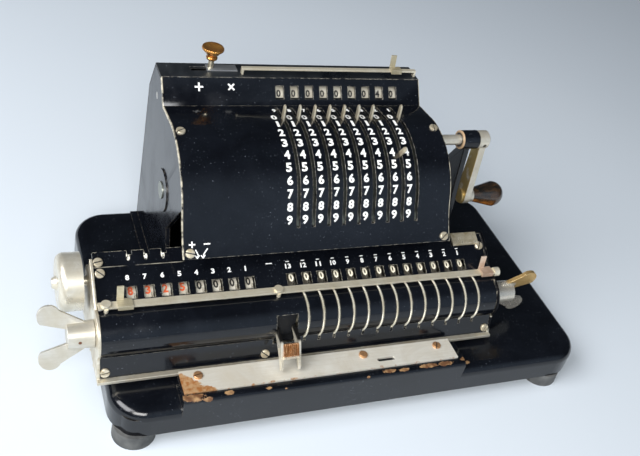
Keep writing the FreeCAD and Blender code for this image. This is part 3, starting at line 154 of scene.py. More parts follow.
def feed(tree, node, inputs):
    """Fill a node's inputs, each with a plain value or with another node's output."""
    for name, value in dict(inputs).items():
        if isinstance(value, bpy.types.NodeSocket):
            tree.links.new(value, node.inputs[name])
        else:
            node.inputs[name].default_value = value


def add(tree, kind, inputs=(), **attributes):
    """Add a shader node, set its attributes and fill its inputs."""
    made = tree.nodes.new("ShaderNode" + kind)
    for name, value in attributes.items():
        setattr(made, name, value)
    feed(tree, made, inputs)
    return made


def scaled(tree, value, low, high, out_low=0.0, out_high=1.0, **attributes):
    """A value mapped from one range to another and held inside it."""
    return add(tree, "MapRange", {"Value": value, "From Min": low, "From Max": high,
                                  "To Min": out_low, "To Max": out_high}, **attributes).outputs[0]


def maths(tree, operation, first, second):
    """The answer of a Math node."""
    return add(tree, "Math", {0: first, 1: second}, operation=operation).outputs[0]


def vector(tree, operation, *values):
    """The answer of a VectorMath node, which is a number for a length or a dot product."""
    made = add(tree, "VectorMath", dict(enumerate(values)), operation=operation)
    return made.outputs["Value" if operation in ("LENGTH", "DOT_PRODUCT") else "Vector"]


def here(tree):
    """The surface's Object coordinates, in metres."""
    return add(tree, "TexCoord").outputs["Object"]


def noise(tree, place, scale, detail, **inputs):
    """A soft random value, with about `scale` swells to a unit of `place`."""
    inputs = {"Vector": place, "Scale": scale, "Detail": detail, **inputs}
    return add(tree, "TexNoise", inputs).outputs[0]


def distance(tree, spot, squeeze=(1.0, 1.0, 1.0)):
    """How far the surface is from a spot in mm, in metres; `squeeze` weighs each way."""
    offset = vector(tree, "SUBTRACT", here(tree), tuple(value * MM for value in spot))
    return vector(tree, "LENGTH", vector(tree, "MULTIPLY", offset, squeeze))


def bumps(tree, height, strength, depth):
    """A normal that lets a value stand out of the surface."""
    inputs = {"Height": height, "Strength": strength, "Distance": depth}
    return add(tree, "Bump", inputs).outputs[0]


def mixed(tree, mask, first, second):
    """A colour that goes from the first to the second as the mask goes from 0 to 1."""
    first, second = ((*colour, 1.0) if isinstance(colour, tuple) else colour
                     for colour in (first, second))
    return add(tree, "Mix", {0: mask, 6: first, 7: second}, data_type="RGBA").outputs[2]


def new_group(name, inputs, outputs):
    """An empty node group with named float inputs; returns it with its two ends."""
    tree = bpy.data.node_groups.new(name, "ShaderNodeTree")
    for label, value in inputs.items():
        socket = tree.interface.new_socket(label, in_out="INPUT", socket_type="NodeSocketFloat")
        socket.default_value = value
    for label in outputs:
        tree.interface.new_socket(label, in_out="OUTPUT", socket_type="NodeSocketFloat")
    return tree, tree.nodes.new("NodeGroupInput").outputs, tree.nodes.new("NodeGroupOutput").inputs


def use(tree, group, inputs=()):
    """Place a node group in a material, with its own values; returns the outputs."""
    return add(tree, "Group", inputs, node_tree=group).outputs


print("node helpers ready")

# %% [markdown]
# ## Three effects that most finishes share
# Ninety years of hands leave the same marks on every part. Edges lose their plating or
# lacquer, flats are smudged so that their gloss varies, and metal that was rubbed one way
# shows fine lines that way. Each effect is a node group, built once. The edge mask
# compares the surface's normal with a rounded one: they differ only near an edge.

# %% Build the shared effects
EDGES, outside, result = new_group(
    "edge_wear", {"Width": 0.0004, "Breakup": 900.0, "Amount": 1.0}, ["Mask"])
rounded = add(EDGES, "Bevel", {"Radius": outside["Width"]}, samples=4).outputs[0]
plain = add(EDGES, "NewGeometry").outputs["Normal"]
edge = scaled(EDGES, vector(EDGES, "DOT_PRODUCT", rounded, plain), 0.995, 0.86)
patchy = scaled(EDGES, noise(EDGES, here(EDGES), outside["Breakup"], 4.0), 0.38, 0.62)
worn = maths(EDGES, "MULTIPLY", edge, patchy)
EDGES.links.new(maths(EDGES, "MULTIPLY", worn, outside["Amount"]), result["Mask"])

SMUDGES, outside, result = new_group(
    "smudges", {"Scale": 60.0, "Clean": 0.1, "Smudged": 0.3}, ["Roughness", "Mask"])
cloud = noise(SMUDGES, here(SMUDGES), outside["Scale"], 7.0, Roughness=0.62, Distortion=0.6)
mask = scaled(SMUDGES, cloud, 0.35, 0.68)
rough = scaled(SMUDGES, mask, 0.0, 1.0, outside["Clean"], outside["Smudged"])
SMUDGES.links.new(rough, result["Roughness"])
SMUDGES.links.new(mask, result["Mask"])

RUBBED, outside, result = new_group("rubbed_lines", {}, ["Height"])
drawn = vector(RUBBED, "MULTIPLY", here(RUBBED), (40.0, 900.0, 900.0))
RUBBED.links.new(noise(RUBBED, drawn, 1.0, 3.0), result["Height"])
print("effects:", [group.name for group in bpy.data.node_groups])

# %% [markdown]
# ## Black japan
# Japan is a baked asphalt lacquer: nearly black, very glossy, and slightly rippled by
# its brush. Where it is struck it flakes off and shows a rusty brown primer, and dust
# settles on it as pale specks. The ripple is a faint bump, the specks are the peaks of a
# fine noise, and the flakes are noise that is let through only near given places.

# %% Make the lacquer finishes
FAR = 1000.0


def new_material(name):
    """An empty material; returns it, its node tree and its Principled shader."""
    material = bpy.data.materials.new(name)
    material.use_nodes = True
    tree = material.node_tree
    return material, tree, tree.nodes["Principled BSDF"]


def flaked(tree, spots):
    """A mask of ragged flakes: noise let through near spots given as (x, y, z, size, stretch),
    where `stretch` makes the flake that much longer along X."""
    nearest = FAR
    for x, y, z, size, stretch in spots:
        apart = distance(tree, (x, y, z), (1 / stretch, 1.0, 1.0))
        nearest = maths(tree, "MINIMUM", nearest, maths(tree, "DIVIDE", apart, size * MM))
    ragged = noise(tree, here(tree), 520.0, 6.0, Roughness=0.75)
    field = maths(tree, "SUBTRACT", ragged, maths(tree, "MULTIPLY", nearest, 0.42))
    return scaled(tree, field, 0.10, 0.14)


def black_japan(name, wear, clean=0.07, smudged=0.24, spots=(), rim=(0.20, 0.175, 0.14),
                haze=(0.0045, 0.0056, 0.0085)):
    """Gloss black lacquer with dust, worn edges and, round the given spots, flakes."""
    material, tree, shader = new_material(name)
    smudge = use(tree, SMUDGES, {"Scale": 38.0, "Clean": clean, "Smudged": smudged})
    edge = use(tree, EDGES, {"Width": 0.0005, "Breakup": 500.0, "Amount": wear})
    colour = mixed(tree, smudge["Mask"], (0.0022, 0.0026, 0.0040), haze)
    speck = scaled(tree, noise(tree, here(tree), 1100.0, 2.0), 0.70, 0.76)
    settled = scaled(tree, smudge["Mask"], 0.0, 1.0, 0.05, 0.35)
    dust = maths(tree, "MULTIPLY", speck, settled)
    colour = mixed(tree, dust, colour, (0.45, 0.50, 0.58))
    colour = mixed(tree, edge["Mask"], colour, rim)
    rough = smudge["Roughness"]
    if spots:
        flakes = flaked(tree, spots)
        hue = scaled(tree, noise(tree, here(tree), 240.0, 3.0), 0.4, 0.62)
        primer = mixed(tree, hue, (0.11, 0.045, 0.015), (0.34, 0.20, 0.09))
        colour = mixed(tree, flakes, colour, primer)
        rough = maths(tree, "ADD", rough, maths(tree, "MULTIPLY", flakes, 0.5))
    ripple = noise(tree, here(tree), 55.0, 3.0)
    feed(tree, shader, {"Base Color": colour, "Roughness": rough,
                        "Normal": bumps(tree, ripple, 0.10, 0.0006)})
    return material


CHIPS = [
    # x, y, z, size and stretch along X, in mm
    (-92, -81.5, 33, 2.6, 2.6), (-84, -83, 32, 1.3, 2.0), (-72, -81.5, 33, 1.5, 1.8),
    (-50, -82, 33, 0.9, 2.0), (24, -81.5, 33, 1.3, 3.6), (33, -82, 33, 1.3, 2.4),
    (50, -81.5, 33, 1.5, 4.2), (61, -81.5, 33, 1.6, 3.2), (74, -80, 33, 1.2, 1.8),
    (80, -78, 27, 1.4, 1.6), (-128, -80, 24, 1.2, 1.2), (-40, -83, 32, 0.7, 1.5),
    (10, -83, 32, 0.8, 1.5), (108, -83, 26, 1.0, 1.4), (-133, -72, 20, 1.1, 1.0)]
JAPAN_COVER = black_japan("black_japan_cover", wear=1.0, rim=(0.42, 0.38, 0.30))
JAPAN_BASE = black_japan("black_japan_base", wear=0.35, clean=0.08, smudged=0.28, spots=CHIPS)
JAPAN_CASTING = black_japan("black_japan_casting", wear=0.7, clean=0.10, smudged=0.26)
# The rear cover's lacquer: dust, and its haze colour lifted to a grey blue as a painted reflection
# of the bright room above.
JAPAN_DUST_AND_SHEEN = black_japan("black_japan_dust_and_sheen", wear=1.0, clean=0.24, smudged=0.46,
                          rim=(0.30, 0.28, 0.24), haze=(0.020, 0.023, 0.026))
JAPAN_HOUSING = black_japan("black_japan_housing", wear=0.9, rim=(0.50, 0.46, 0.36))
# A rough black used only for painted shade: the screws' slot floors and the sheet behind the key.
SHADE_BLACK = black_japan("black_japan_painted_shade", wear=0.0, clean=0.55, smudged=0.75)
print("lacquers:", [m.name for m in bpy.data.materials if "japan" in m.name])

# %% [markdown]
# ## Wear and painted highlights in given places
# Some marks aren't spread by chance: a hand always meets the cover's two side edges, and
# the notches and the crease of the carriage's housing carry painted highlights, pale colour
# for the light that glints on them. A mask made of Object coordinates puts such a mark where
# it belongs, and it stays there when the piece moves. Several masks together let a mark
# through only where all of them do.

# %% Put wear and painted highlights in their place


def past(tree, axis, start, full):
    """A mask that is 0 at `start` and 1 at `full`, both in millimetres along an axis."""
    metres = add(tree, "SeparateXYZ", {"Vector": here(tree)}).outputs[axis]
    return scaled(tree, maths(tree, "MULTIPLY", metres, 1 / MM), start, full)


def patches(tree, count, low, high):
    """A mask of soft patches, about `count` of them to a metre."""
    return scaled(tree, noise(tree, here(tree), count, 5.0), low, high)


def close_to(tree, spot, size, squeeze=(1.0, 1.0, 1.0)):
    """A mask that is 1 within `size` mm of a spot; `squeeze` above 1 narrows it that way."""
    return scaled(tree, distance(tree, spot, squeeze), size * 1.15 * MM, size * 0.85 * MM)


def tint(material, colour, *masks):
    """Lay one more colour over a material's own, where all masks are 1. Each mask is given
    as its function, followed by what that takes after the tree."""
    tree = material.node_tree
    shader = tree.nodes["Principled BSDF"]
    mask = 1.0
    for make, *values in masks:
        mask = maths(tree, "MULTIPLY", mask, make(tree, *values))
    bare = shader.inputs["Base Color"].links[0].from_socket
    tree.links.new(mixed(tree, mask, bare, colour), shader.inputs["Base Color"])


CREAM_EDGE, NOTCH_HIGHLIGHT, CREASE_HIGHLIGHT = (0.52, 0.47, 0.36), (0.86, 0.82, 0.70), (0.26, 0.24, 0.19)
for start, full in ((BODY_LEFT + 0.9, BODY_LEFT + 0.4), (BODY_RIGHT - 0.6, BODY_RIGHT - 0.3)):
    tint(JAPAN_COVER, CREAM_EDGE, (past, 0, start, full), (patches, 260, 0.38, 0.58))

# painted highlights: pale patches at the three notches of the housing's lip, for light glinting on
# their walls
NOTCHES, NOTCH_Y, NOTCH_Z = [-118.35, -109.05, -99.75], -18.3, 78.6
for x in NOTCHES:
    tint(JAPAN_HOUSING, NOTCH_HIGHLIGHT, (close_to, (x, NOTCH_Y, NOTCH_Z), 2.3, (2.4, 1.0, 1.0)),
         (patches, 700, 0.38, 0.5))

FACE_TOP, FACE_FOOT = (-22.7, 76.0), (-42.6, 64.09)
CREASE, CREASE_RIGHT = FACE_TOP[0], -88.0
# painted highlight: a thin pale line along the crease at the top of the number face, on its left
# part
tint(JAPAN_HOUSING, CREASE_HIGHLIGHT, (past, 1, CREASE - 0.25, CREASE - 0.1),
     (past, 1, CREASE + 0.25, CREASE + 0.1), (past, 0, CREASE_RIGHT, CREASE_RIGHT - 2.0),
     (patches, 90, 0.40, 0.60))
print("cream wear on the cover's sides,", len(NOTCHES), "notches and a crease")

# %% [markdown]
# ## Plated and bare metal
# Nickel plate of that time is warm and soft rather than mirror bright. It dulls to a
# brownish grey, and where fingers reach it the brass under it shows. Nickel, steel, brass
# and copper differ only in colours and gloss, so one function makes them all: a clean
# and a tarnished colour mixed by a cloud, fine rubbed lines as a bump, and pale edges.

# %% Make the metal finishes


def metal(name, clean, tarnish, gloss=(0.30, 0.48), shine=0.75, cloud=70.0,
          edge_colour=(0.92, 0.90, 0.82)):
    """A worn metal with tarnish clouds, rubbed lines and bright edges; a film of oil and
    dust leaves it only partly metallic, by `shine`."""
    material, tree, shader = new_material(name)
    smudge = use(tree, SMUDGES, {"Scale": cloud, "Clean": gloss[0], "Smudged": gloss[1]})
    edge = use(tree, EDGES, {"Width": 0.0004, "Breakup": 700.0, "Amount": 0.6})
    lines = use(tree, RUBBED)["Height"]
    colour = mixed(tree, smudge["Mask"], clean, tarnish)
    colour = mixed(tree, scaled(tree, lines, 0.35, 0.65, 0.0, 0.35), colour, tarnish)
    colour = mixed(tree, edge["Mask"], colour, edge_colour)
    feed(tree, shader, {"Base Color": colour, "Roughness": smudge["Roughness"],
                        "Metallic": shine, "Normal": bumps(tree, lines, 0.12, 0.0002)})
    return material


SATIN, POLISHED, GREASY = (0.3, 0.45), (0.26, 0.42), (0.3, 0.5)
NICKEL = metal("nickel", (0.86, 0.82, 0.70), (0.56, 0.48, 0.34))
NICKEL_FRAME = metal("nickel_frame", (0.84, 0.80, 0.68), (0.54, 0.46, 0.33))
NICKEL_RAIL = metal("nickel_rail", (0.90, 0.84, 0.68), (0.66, 0.58, 0.42), SATIN, 0.6)
# A darker copy of nickel for the left wing nut: painted shade, held down because the wing faces
# the lamps.
NICKEL_WING_SHADED = metal("nickel_wing_shaded", (0.64, 0.61, 0.54), (0.47, 0.43, 0.34), SATIN, 0.6)
NICKEL_BELL = metal("nickel_bell", (0.78, 0.75, 0.66), (0.56, 0.51, 0.40), (0.24, 0.42), 0.6,
                    edge_colour=(0.60, 0.52, 0.36))
NICKEL_CRANK = metal("nickel_crank", (0.86, 0.81, 0.70), (0.62, 0.56, 0.44), POLISHED, 0.65)
NICKEL_ARM = metal("nickel_arm", (0.82, 0.78, 0.68), (0.60, 0.54, 0.43), POLISHED, 0.65)
NICKEL_RIM = metal("rim_nickel", (0.76, 0.72, 0.60), (0.50, 0.45, 0.33), (0.28, 0.42), 0.5)
NICKEL_KEY = metal("key_nickel", (0.82, 0.78, 0.68), (0.56, 0.50, 0.38), POLISHED, 0.6)
SCREW = metal("screw_nickel", (0.78, 0.71, 0.56), (0.42, 0.34, 0.21), (0.25, 0.42), 0.6, 260.0)
KHAKI = metal("khaki_nickel", (0.66, 0.60, 0.44), (0.42, 0.36, 0.23), shine=0.6)
ROSE = metal("rose_nickel", (0.78, 0.62, 0.49), (0.54, 0.36, 0.25), (0.25, 0.4), 0.55)
MOTTLED = metal("mottled_nickel", (0.74, 0.68, 0.53), (0.36, 0.29, 0.17), (0.24, 0.42), 0.6, 240.0)
GREY = metal("grey_nickel", (0.46, 0.47, 0.48), (0.30, 0.31, 0.32), GREASY)
STRIP = metal("strip_nickel", (0.95, 0.92, 0.83), (0.74, 0.68, 0.56), (0.32, 0.5), 0.5, 45.0)
STEEL = metal("steel", (0.60, 0.59, 0.56), (0.34, 0.32, 0.29), (0.25, 0.45))
STEEL_OILED = metal("steel_oiled", (0.38, 0.40, 0.36), (0.16, 0.17, 0.14), GREASY)
STEEL_RING = metal("ring_steel", (0.84, 0.78, 0.62), (0.60, 0.50, 0.34), POLISHED)
DRUM_METAL = metal("drum_metal", (0.78, 0.74, 0.63), (0.46, 0.41, 0.32), (0.35, 0.5), 0.35, 140.0)
DRUM_DARK = metal("drum_dark", (0.11, 0.095, 0.07), (0.05, 0.043, 0.032), (0.35, 0.5), 0.35, 140.0)
COPPER = metal("copper_wear", (0.40, 0.18, 0.06), (0.15, 0.055, 0.02), (0.20, 0.36), 0.6, 200.0,
               (0.90, 0.66, 0.40))
AMBER = metal("amber_brass", (0.70, 0.36, 0.09), (0.34, 0.13, 0.03), (0.12, 0.26), 0.8, 120.0,
              (0.95, 0.66, 0.30))
BRASS = metal("worn_brass", (0.72, 0.52, 0.24), (0.50, 0.30, 0.10), (0.2, 0.36),
              edge_colour=(0.95, 0.84, 0.56))
print("metals:", [m.name for m in bpy.data.materials if "japan" not in m.name])

# %% [markdown]
# ## Where the plating has gone
# Nickel is thin. On the base strip a corner has worn through to copper, on the crank the
# side that the hand brushes has turned golden, and the carriage's right end plate was
# lacquered. The screws of the strip have rusted. Two tints are painted shade: the crank's
# pin hole and the key's heads in the barrel's recess are darkened. Each mark is a tint with
# its own masks.

# %% Wear the plating through
strip_low, strip_high = corners("track_strip")
WORN_RUN = 19.0
KEY_PIVOT, KNOB_FOOT = hinge("shift_key_press"), corners("mode_knob")[0][2]
PLATE_INNER, BRACKET_INNER = corners("carriage_housing")[1][0], corners("crank_bracket")[0][0]
CRANK_HOLE, WING_PIN, BEARING = (121.5, 32.4, 108.6), (-146.4, -51.9, 51.6), (0.0, 38.1, 110.0)
PIN_HEAD, BEARING_REACH = 1.6, 5.0
ARM_FACE = corners("crank_arm")[0][0] + PIN_HEAD
COLLAR_FACE = [(past, 0, BRACKET_INNER + 1.1, BRACKET_INNER + 0.9), (past, 0, 90.0, 91.0)]
DEEP_BLACK = (0.012, 0.011, 0.010)


def strip_corner(tree):
    """A mask of the strip's front left corner, cut off aslant with a ragged edge."""
    across = past(tree, 0, strip_low[0], strip_low[0] + WORN_RUN)
    aslant = maths(tree, "ADD", across, past(tree, 1, strip_low[1], strip_high[1]))
    ragged = maths(tree, "MULTIPLY", patches(tree, 300, 0.3, 0.7), 0.28)
    return scaled(tree, maths(tree, "ADD", aslant, ragged), 1.10, 1.00)


def wing_plated(tree):
    """A mask of the wing nut's hub and lower wing: what is low or lies inward."""
    return maths(tree, "MAXIMUM", past(tree, 2, 53.5, 52.5), past(tree, 0, 121.2, 120.2))


tree = STRIP.node_tree
rust = mixed(tree, patches(tree, 420, 0.4, 0.6), (0.50, 0.20, 0.06), (0.66, 0.40, 0.20))
WORN_PLACES = [
    # finish, the colour that shows, and the masks that let it through
    (STRIP, rust, (strip_corner,)),
    (NICKEL_FRAME, (0.006, 0.006, 0.008), (past, 0, PLATE_INNER - 0.3, PLATE_INNER - 0.1),
     (past, 2, 33.0, 34.0), (patches, 260, 0.66, 0.58)),
    (NICKEL_ARM, (0.46, 0.34, 0.14), (past, 0, ARM_FACE + 0.4, ARM_FACE + 0.2),
     (patches, 150, 0.30, 0.44)),
    # painted shade: darkens the crank's pin hole
    (NICKEL_CRANK, (0.05, 0.035, 0.02), (close_to, CRANK_HOLE, 1.2)),
    (SCREW, (0.46, 0.25, 0.12), (past, 2, 42.0, 38.0), (past, 1, -62.5, -63.0)),
    (NICKEL_WING_SHADED, (0.16, 0.06, 0.03), (close_to, WING_PIN, 0.9)),
    (BRASS, (0.66, 0.61, 0.52), (past, 2, 60.0, 59.0), (wing_plated,)),
    (AMBER, (0.62, 0.56, 0.42), (past, 2, KNOB_FOOT + 5.4, KNOB_FOOT + 5.0)),
    (COPPER, (0.86, 0.76, 0.60), (past, 2, 44.6, 44.3)),
    # painted shade: the key cheeks' heads, up in the barrel's recess, are darkened almost to black
    (NICKEL_KEY, (0.014, 0.013, 0.012), (past, 2, KEY_PIVOT[1] - 0.6, KEY_PIVOT[1] + 0.6),
     (past, 1, -67.0, -65.6)),
    (JAPAN_CASTING, (0.50, 0.34, 0.20), *COLLAR_FACE),
    (JAPAN_CASTING, DEEP_BLACK, *COLLAR_FACE, (close_to, BEARING, BEARING_REACH, (0.0, 1.0, 1.0))),
]
for place in WORN_PLACES:
    tint(*place)
print("finishes worn through or dirty in", len(WORN_PLACES), "places")

# %% [markdown]
# ## Horn, rubber and paint
# The crank's grip is turned horn: dark brown with pale streaks that follow its length,
# under a clear polish. The feet are grey rubber gone matt. The figures are filled with
# white or red paint that has yellowed and lost flakes.

# %% Make the remaining finishes
HORN, tree, shader = new_material("horn")
drawn = vector(tree, "MULTIPLY", here(tree), (60.0, 260.0, 260.0))
streak = scaled(tree, noise(tree, drawn, 1.0, 5.0, Distortion=1.2), 0.42, 0.66)
gloss = use(tree, SMUDGES, {"Scale": 90.0, "Clean": 0.16, "Smudged": 0.34})
feed(tree, shader, {"Base Color": mixed(tree, streak, (0.010, 0.008, 0.006), (0.06, 0.030, 0.012)),
                    "Roughness": gloss["Roughness"], "Coat Weight": 0.7, "Coat Roughness": 0.12})
# painted highlight: the grip's lower end near the arm is tinted orange, for the light it catches
# there
tint(HORN, (0.42, 0.15, 0.03), (past, 0, 146.0, 138.0), (past, 2, 66.5, 64.0),
     (patches, 110, 0.36, 0.56))


def mottled(name, fresh, aged, scale=500.0, low=0.45, high=0.75, roughness=0.42, detail=4.0):
    """A finish whose colour goes patchy with age; what isn't given is as paint has it."""
    material, tree, shader = new_material(name)
    patch = scaled(tree, noise(tree, here(tree), scale, detail), low, high)
    feed(tree, shader, {"Base Color": mixed(tree, patch, fresh, aged), "Roughness": roughness})
    return material


WHITE_PAINT = mottled("white_paint", (0.88, 0.88, 0.86), (0.62, 0.60, 0.54))
RED_PAINT = mottled("red_paint", (0.60, 0.10, 0.03), (0.36, 0.08, 0.04))
BLACK_PAINT = mottled("black_paint", DEEP_BLACK, (0.05, 0.045, 0.04))
CREAM_PAINT = mottled("cream_paint", (0.92, 0.86, 0.68), (0.70, 0.62, 0.45))
FLOOR = mottled("floor", (0.60, 0.655, 0.71), (0.63, 0.68, 0.73), scale=3.0, low=0.0, high=1.0,
                roughness=0.85, detail=2.0)
RUBBER = mottled("rubber", (0.045, 0.047, 0.048), (0.13, 0.13, 0.125), scale=90.0, low=0.35,
                 high=0.7, roughness=0.72)
tree = RUBBER.node_tree
grain = bumps(tree, noise(tree, here(tree), 700.0, 4.0), 0.3, 0.0003)
feed(tree, tree.nodes["Principled BSDF"], {"Normal": grain})
print(len(bpy.data.materials), "materials")

# %% Lay the floor and light the room
FLOOR_HALF = 4
sheet = bpy.data.meshes.new("floor")
sheet.from_pydata([(x * FLOOR_HALF, y * FLOOR_HALF, 0) for x, y in
                   ((-1, -1), (1, -1), (1, 1), (-1, 1))], [], [(0, 1, 2, 3)])
sheet.materials.append(FLOOR)
floor = bpy.data.objects.new("floor", sheet)
scene.collection.objects.link(floor)

LOW_FRONT = (0.20, -0.96, 0.08)
scene.world = bpy.data.worlds.new("room")
scene.world.use_nodes = True
tree = scene.world.node_tree
facing = vector(tree, "DOT_PRODUCT", add(tree, "TexCoord").outputs["Generated"], LOW_FRONT)
glow = scaled(tree, facing, 0.45, 1.0, 0.06, 0.62, interpolation_type="SMOOTHSTEP")
feed(tree, tree.nodes["Background"], {"Strength": glow, "Color": (0.62, 0.78, 1.0, 1.0)})
scene.view_settings.view_transform = "Standard"
print("floor", 2 * FLOOR_HALF, "m wide, and a blue glow low in front")

# %% [markdown]
# ## From a finish to each solid
# The solids that are already the right shape keep their meshes and only take a finish.

# %% Give the frame's solids their finishes
FINISHES = {
    JAPAN_BASE: ["base_casting"],
    NICKEL: ["wheel_axles"],
    NICKEL_CRANK: ["crank_shaft"],
    NICKEL_BELL: ["bell"],
    STEEL: ["cross_shafts"],
    DRUM_DARK: ["result_wheels"],
    DRUM_METAL: ["counter_wheel_%d" % n for n in range(1, 9)]
                + ["check_dial_%d" % n for n in range(1, 10)],
    STEEL_OILED: ["pinwheel_rotor", "rotor_axle", "transfer_gears"],
    HORN: ["crank_handle"],
    RUBBER: ["rubber_feet"],
}


def finish(mesh, material):
    """Make a material the only one of a mesh."""
    mesh.materials.clear()
    mesh.materials.append(material)


for material, names in FINISHES.items():
    for name in names:
        finish(NODES[name].data, material)
print("finished", sum(len(names) for names in FINISHES.values()), "solids")

# %% [markdown]
# ## Making a mesh from arrays
# A turned, bent or cut piece is a stack of rings, and each ring is a closed loop of points.
# The faces between two rings are always the same pattern of neighbours, so one function
# writes them for all such pieces, and numpy works out the points with whole arrays.

# %% Define the mesh helpers


def rings(points):
    """Points [ring, place, xyz] and the quads between neighbours; each ring is closed."""
    count, size = points.shape[:2]
    index = np.arange(count * size).reshape(count, size)
    index = np.hstack([index, index[:, :1]])
    quads = np.stack([index[:-1, :-1], index[1:, :-1], index[1:, 1:], index[:-1, 1:]], -1)
    return points.reshape(-1, 3), quads.reshape(-1, 4).tolist()


def capped(points):
    """Rings as above, with a face over the first and the last."""
    shape, faces = rings(points)
    size = points.shape[1]
    last = len(shape) - size
    return shape, faces + [list(range(size)), list(range(last, last + size))]


def along_x(outline, left, right):
    """An outline [(y, z), ...] carried from x = left to x = right, with closed ends."""
    outline = np.array(outline, float)
    return capped(np.stack([np.column_stack([np.full(len(outline), x), outline])
                            for x in (left, right)]))


def together(shapes):
    """Several (points, faces) as one."""
    points, faces, start = [], [], 0
    for more_points, more_faces in shapes:
        points.append(more_points)
        faces += [[corner + start for corner in face] for face in more_faces]
        start += len(more_points)
    return np.vstack(points), faces


def place_mesh(name, mesh, body, material, replaces=(), soft=35.0):
    """Shade a mesh, give it its material and let it ride on a body of the frame."""
    finish(mesh, material)
    mesh.shade_smooth()
    mesh.set_sharp_from_angle(angle=math.radians(soft))
    made = bpy.data.objects.new(name, mesh)
    scene.collection.objects.link(made)
    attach(made, body)
    if replaces:
        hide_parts(*replaces)
    return made


def piece(name, shape, body, material, replaces=(), soft=35.0):
    """A finished object from (points in mm, faces); faces meeting under `soft` degrees blend."""
    points, faces = shape
    work = bmesh.new()
    mesh = bpy.data.meshes.new(name)
    mesh.from_pydata((points * MM).tolist(), [], faces)
    work.from_mesh(mesh)
    bmesh.ops.remove_doubles(work, verts=work.verts, dist=1e-6)
    bmesh.ops.recalc_face_normals(work, faces=work.faces)
    work.to_mesh(mesh)
    work.free()
    return place_mesh(name, mesh, body, material, replaces, soft)


def roll_edges(target, width, segments=2):
    """A Bevel on every sharp edge, because no real edge is a knife's."""
    bevel = target.modifiers.new("rolled_edges", "BEVEL")
    bevel.width, bevel.segments = width * MM, segments
    bevel.limit_method, bevel.angle_limit = "ANGLE", math.radians(30.0)
    bevel.harden_normals = True


print("mesh helpers ready")

# %% [markdown]
# ## Softening the solids' edges
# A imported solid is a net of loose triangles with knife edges, and no light catches on a
# knife edge. A copy is merged, its flat faces are joined again into single polygons, and
# a narrow Bevel rolls each sharp edge. The copy then stands for the solid, which stays
# hidden underneath for the physics. The clearing nuts at the carriage's ends are cast, so
# a wide Bevel of more steps crowns their hubs and wings as polishing would.

# %% Roll the edges of the plates, castings, clips and nuts


def softened(node, width, material, slot, body, segments):
    """A merged copy of a frame solid, with its edges rolled by `width` millimetres."""
    mesh = bpy.data.meshes.new(node + "_soft")
    work = bmesh.new()
    work.from_mesh(NODES[node].data)
    bmesh.ops.remove_doubles(work, verts=work.verts, dist=2e-6)
    bmesh.ops.dissolve_limit(work, angle_limit=math.radians(0.8), verts=work.verts,
                             edges=work.edges)
    bmesh.ops.recalc_face_normals(work, faces=work.faces)
    work.to_mesh(mesh)
    work.free()
    made = place_mesh(node + "_soft", mesh, body, material, (node,), soft=28.0)
    roll_edges(made, width, segments)


SOFTENED = [
    # solid, edge width in mm, finish, slot, body and steps of the Bevel
    ("side_plate_left", 0.5, JAPAN_CASTING, "black_japan", "frame", 2),
    ("side_plate_right", 0.5, JAPAN_CASTING, "black_japan", "frame", 2),
    ("crank_bracket", 0.8, JAPAN_CASTING, "black_japan", "frame", 2),
    ("front_cover", 0.25, JAPAN_COVER, "black_japan", "frame", 2),
    ("rear_cover", 0.4, JAPAN_DUST_AND_SHEEN, "black_japan", "frame", 2),
    ("carriage_housing", 0.2, JAPAN_HOUSING, "black_japan", "carriage", 2),
    ("carriage_frame", 0.3, NICKEL_FRAME, "nickel", "carriage", 2),
    ("decimal_rail", 0.25, NICKEL_RAIL, "nickel", "carriage", 2),
    ("track_strip", 0.25, STRIP, "nickel", "frame", 2),
    ("crank_arm", 0.7, NICKEL_ARM, "nickel", "crank", 2),
    ("top_rail", 0.25, NICKEL_RAIL, "nickel", "frame", 2),
    ("wing_nut_left", 0.8, NICKEL_WING_SHADED, "nickel", "left_wing", 3),
    ("wing_nut_right", 0.8, BRASS, "nickel", "right_wing", 3),
    ("decimal_marker_left", 0.18, KHAKI, "nickel", "left_rider", 2),
    ("decimal_marker_right", 0.18, ROSE, "copper_wear", "right_rider", 2),
    ("top_marker", 0.18, KHAKI, "nickel", "top_rider", 2),
    ("mode_slide", 0.18, GREY, "nickel", "mode", 2),
    ("detent_bracket", 0.18, MOTTLED, "nickel", "carriage", 2),
]
for row in SOFTENED:
    softened(*row)
print(len(SOFTENED), "solids softened")

# %% [markdown]
# ## Slotted screws
# A cheese-head screw is a short drum with a slot sawn across it. Turned and cut as a
# solid it looks flat, so each head is made new: two half discs whose upper edge is
# rounded, a gap for the slot between them, and a black disc of painted shade on the slot's
# floor. The places come from the frame: the solid's thin way is the screw's axis, and its
# middle is the place.
# Three small screws on the carriage's face have no solid, so their places are given.

# %% Cut the screws
SCREW_REACH, SCREW_HEIGHT, SLOT_HALF = 2.6, 1.2, 0.35


def screw_places(node, count):
    """Foot and outward direction of each screw of a node: the loose triangles of one screw
    follow each other, and the axis is the way in which its points spread least."""
    mesh = NODES[node].data
    flat = np.empty(len(mesh.vertices) * 3)
    mesh.vertices.foreach_get("co", flat)
    found = []
    for points in flat.reshape(count, -1, 3) / MM:
        centre = (points.max(0) + points.min(0)) / 2
        offset = points - centre
        out = np.linalg.svd(offset - offset.mean(0), full_matrices=False)[2][2]
        out = out * np.sign(out @ np.array([0.0, -0.5, 1.0]))
        found.append((centre + out * (offset @ out).min(), out))
    return found


def on_axis(foot, out, turn, across, away, rise):
    """Rings of (across, away, rise) stood on a foot along `out`, turned about it."""
    foot, out, right = np.array(foot), np.array(out), np.array([1.0, 0.0, 0.0])
    lean = math.radians(turn)
    first = right * math.cos(lean) + np.cross(out, right) * math.sin(lean)
    rise = np.broadcast_to(rise[:, None], across.shape)
    return capped(foot + across[..., None] * first + away[..., None] * np.cross(out, first)
                  + rise[..., None] * out)


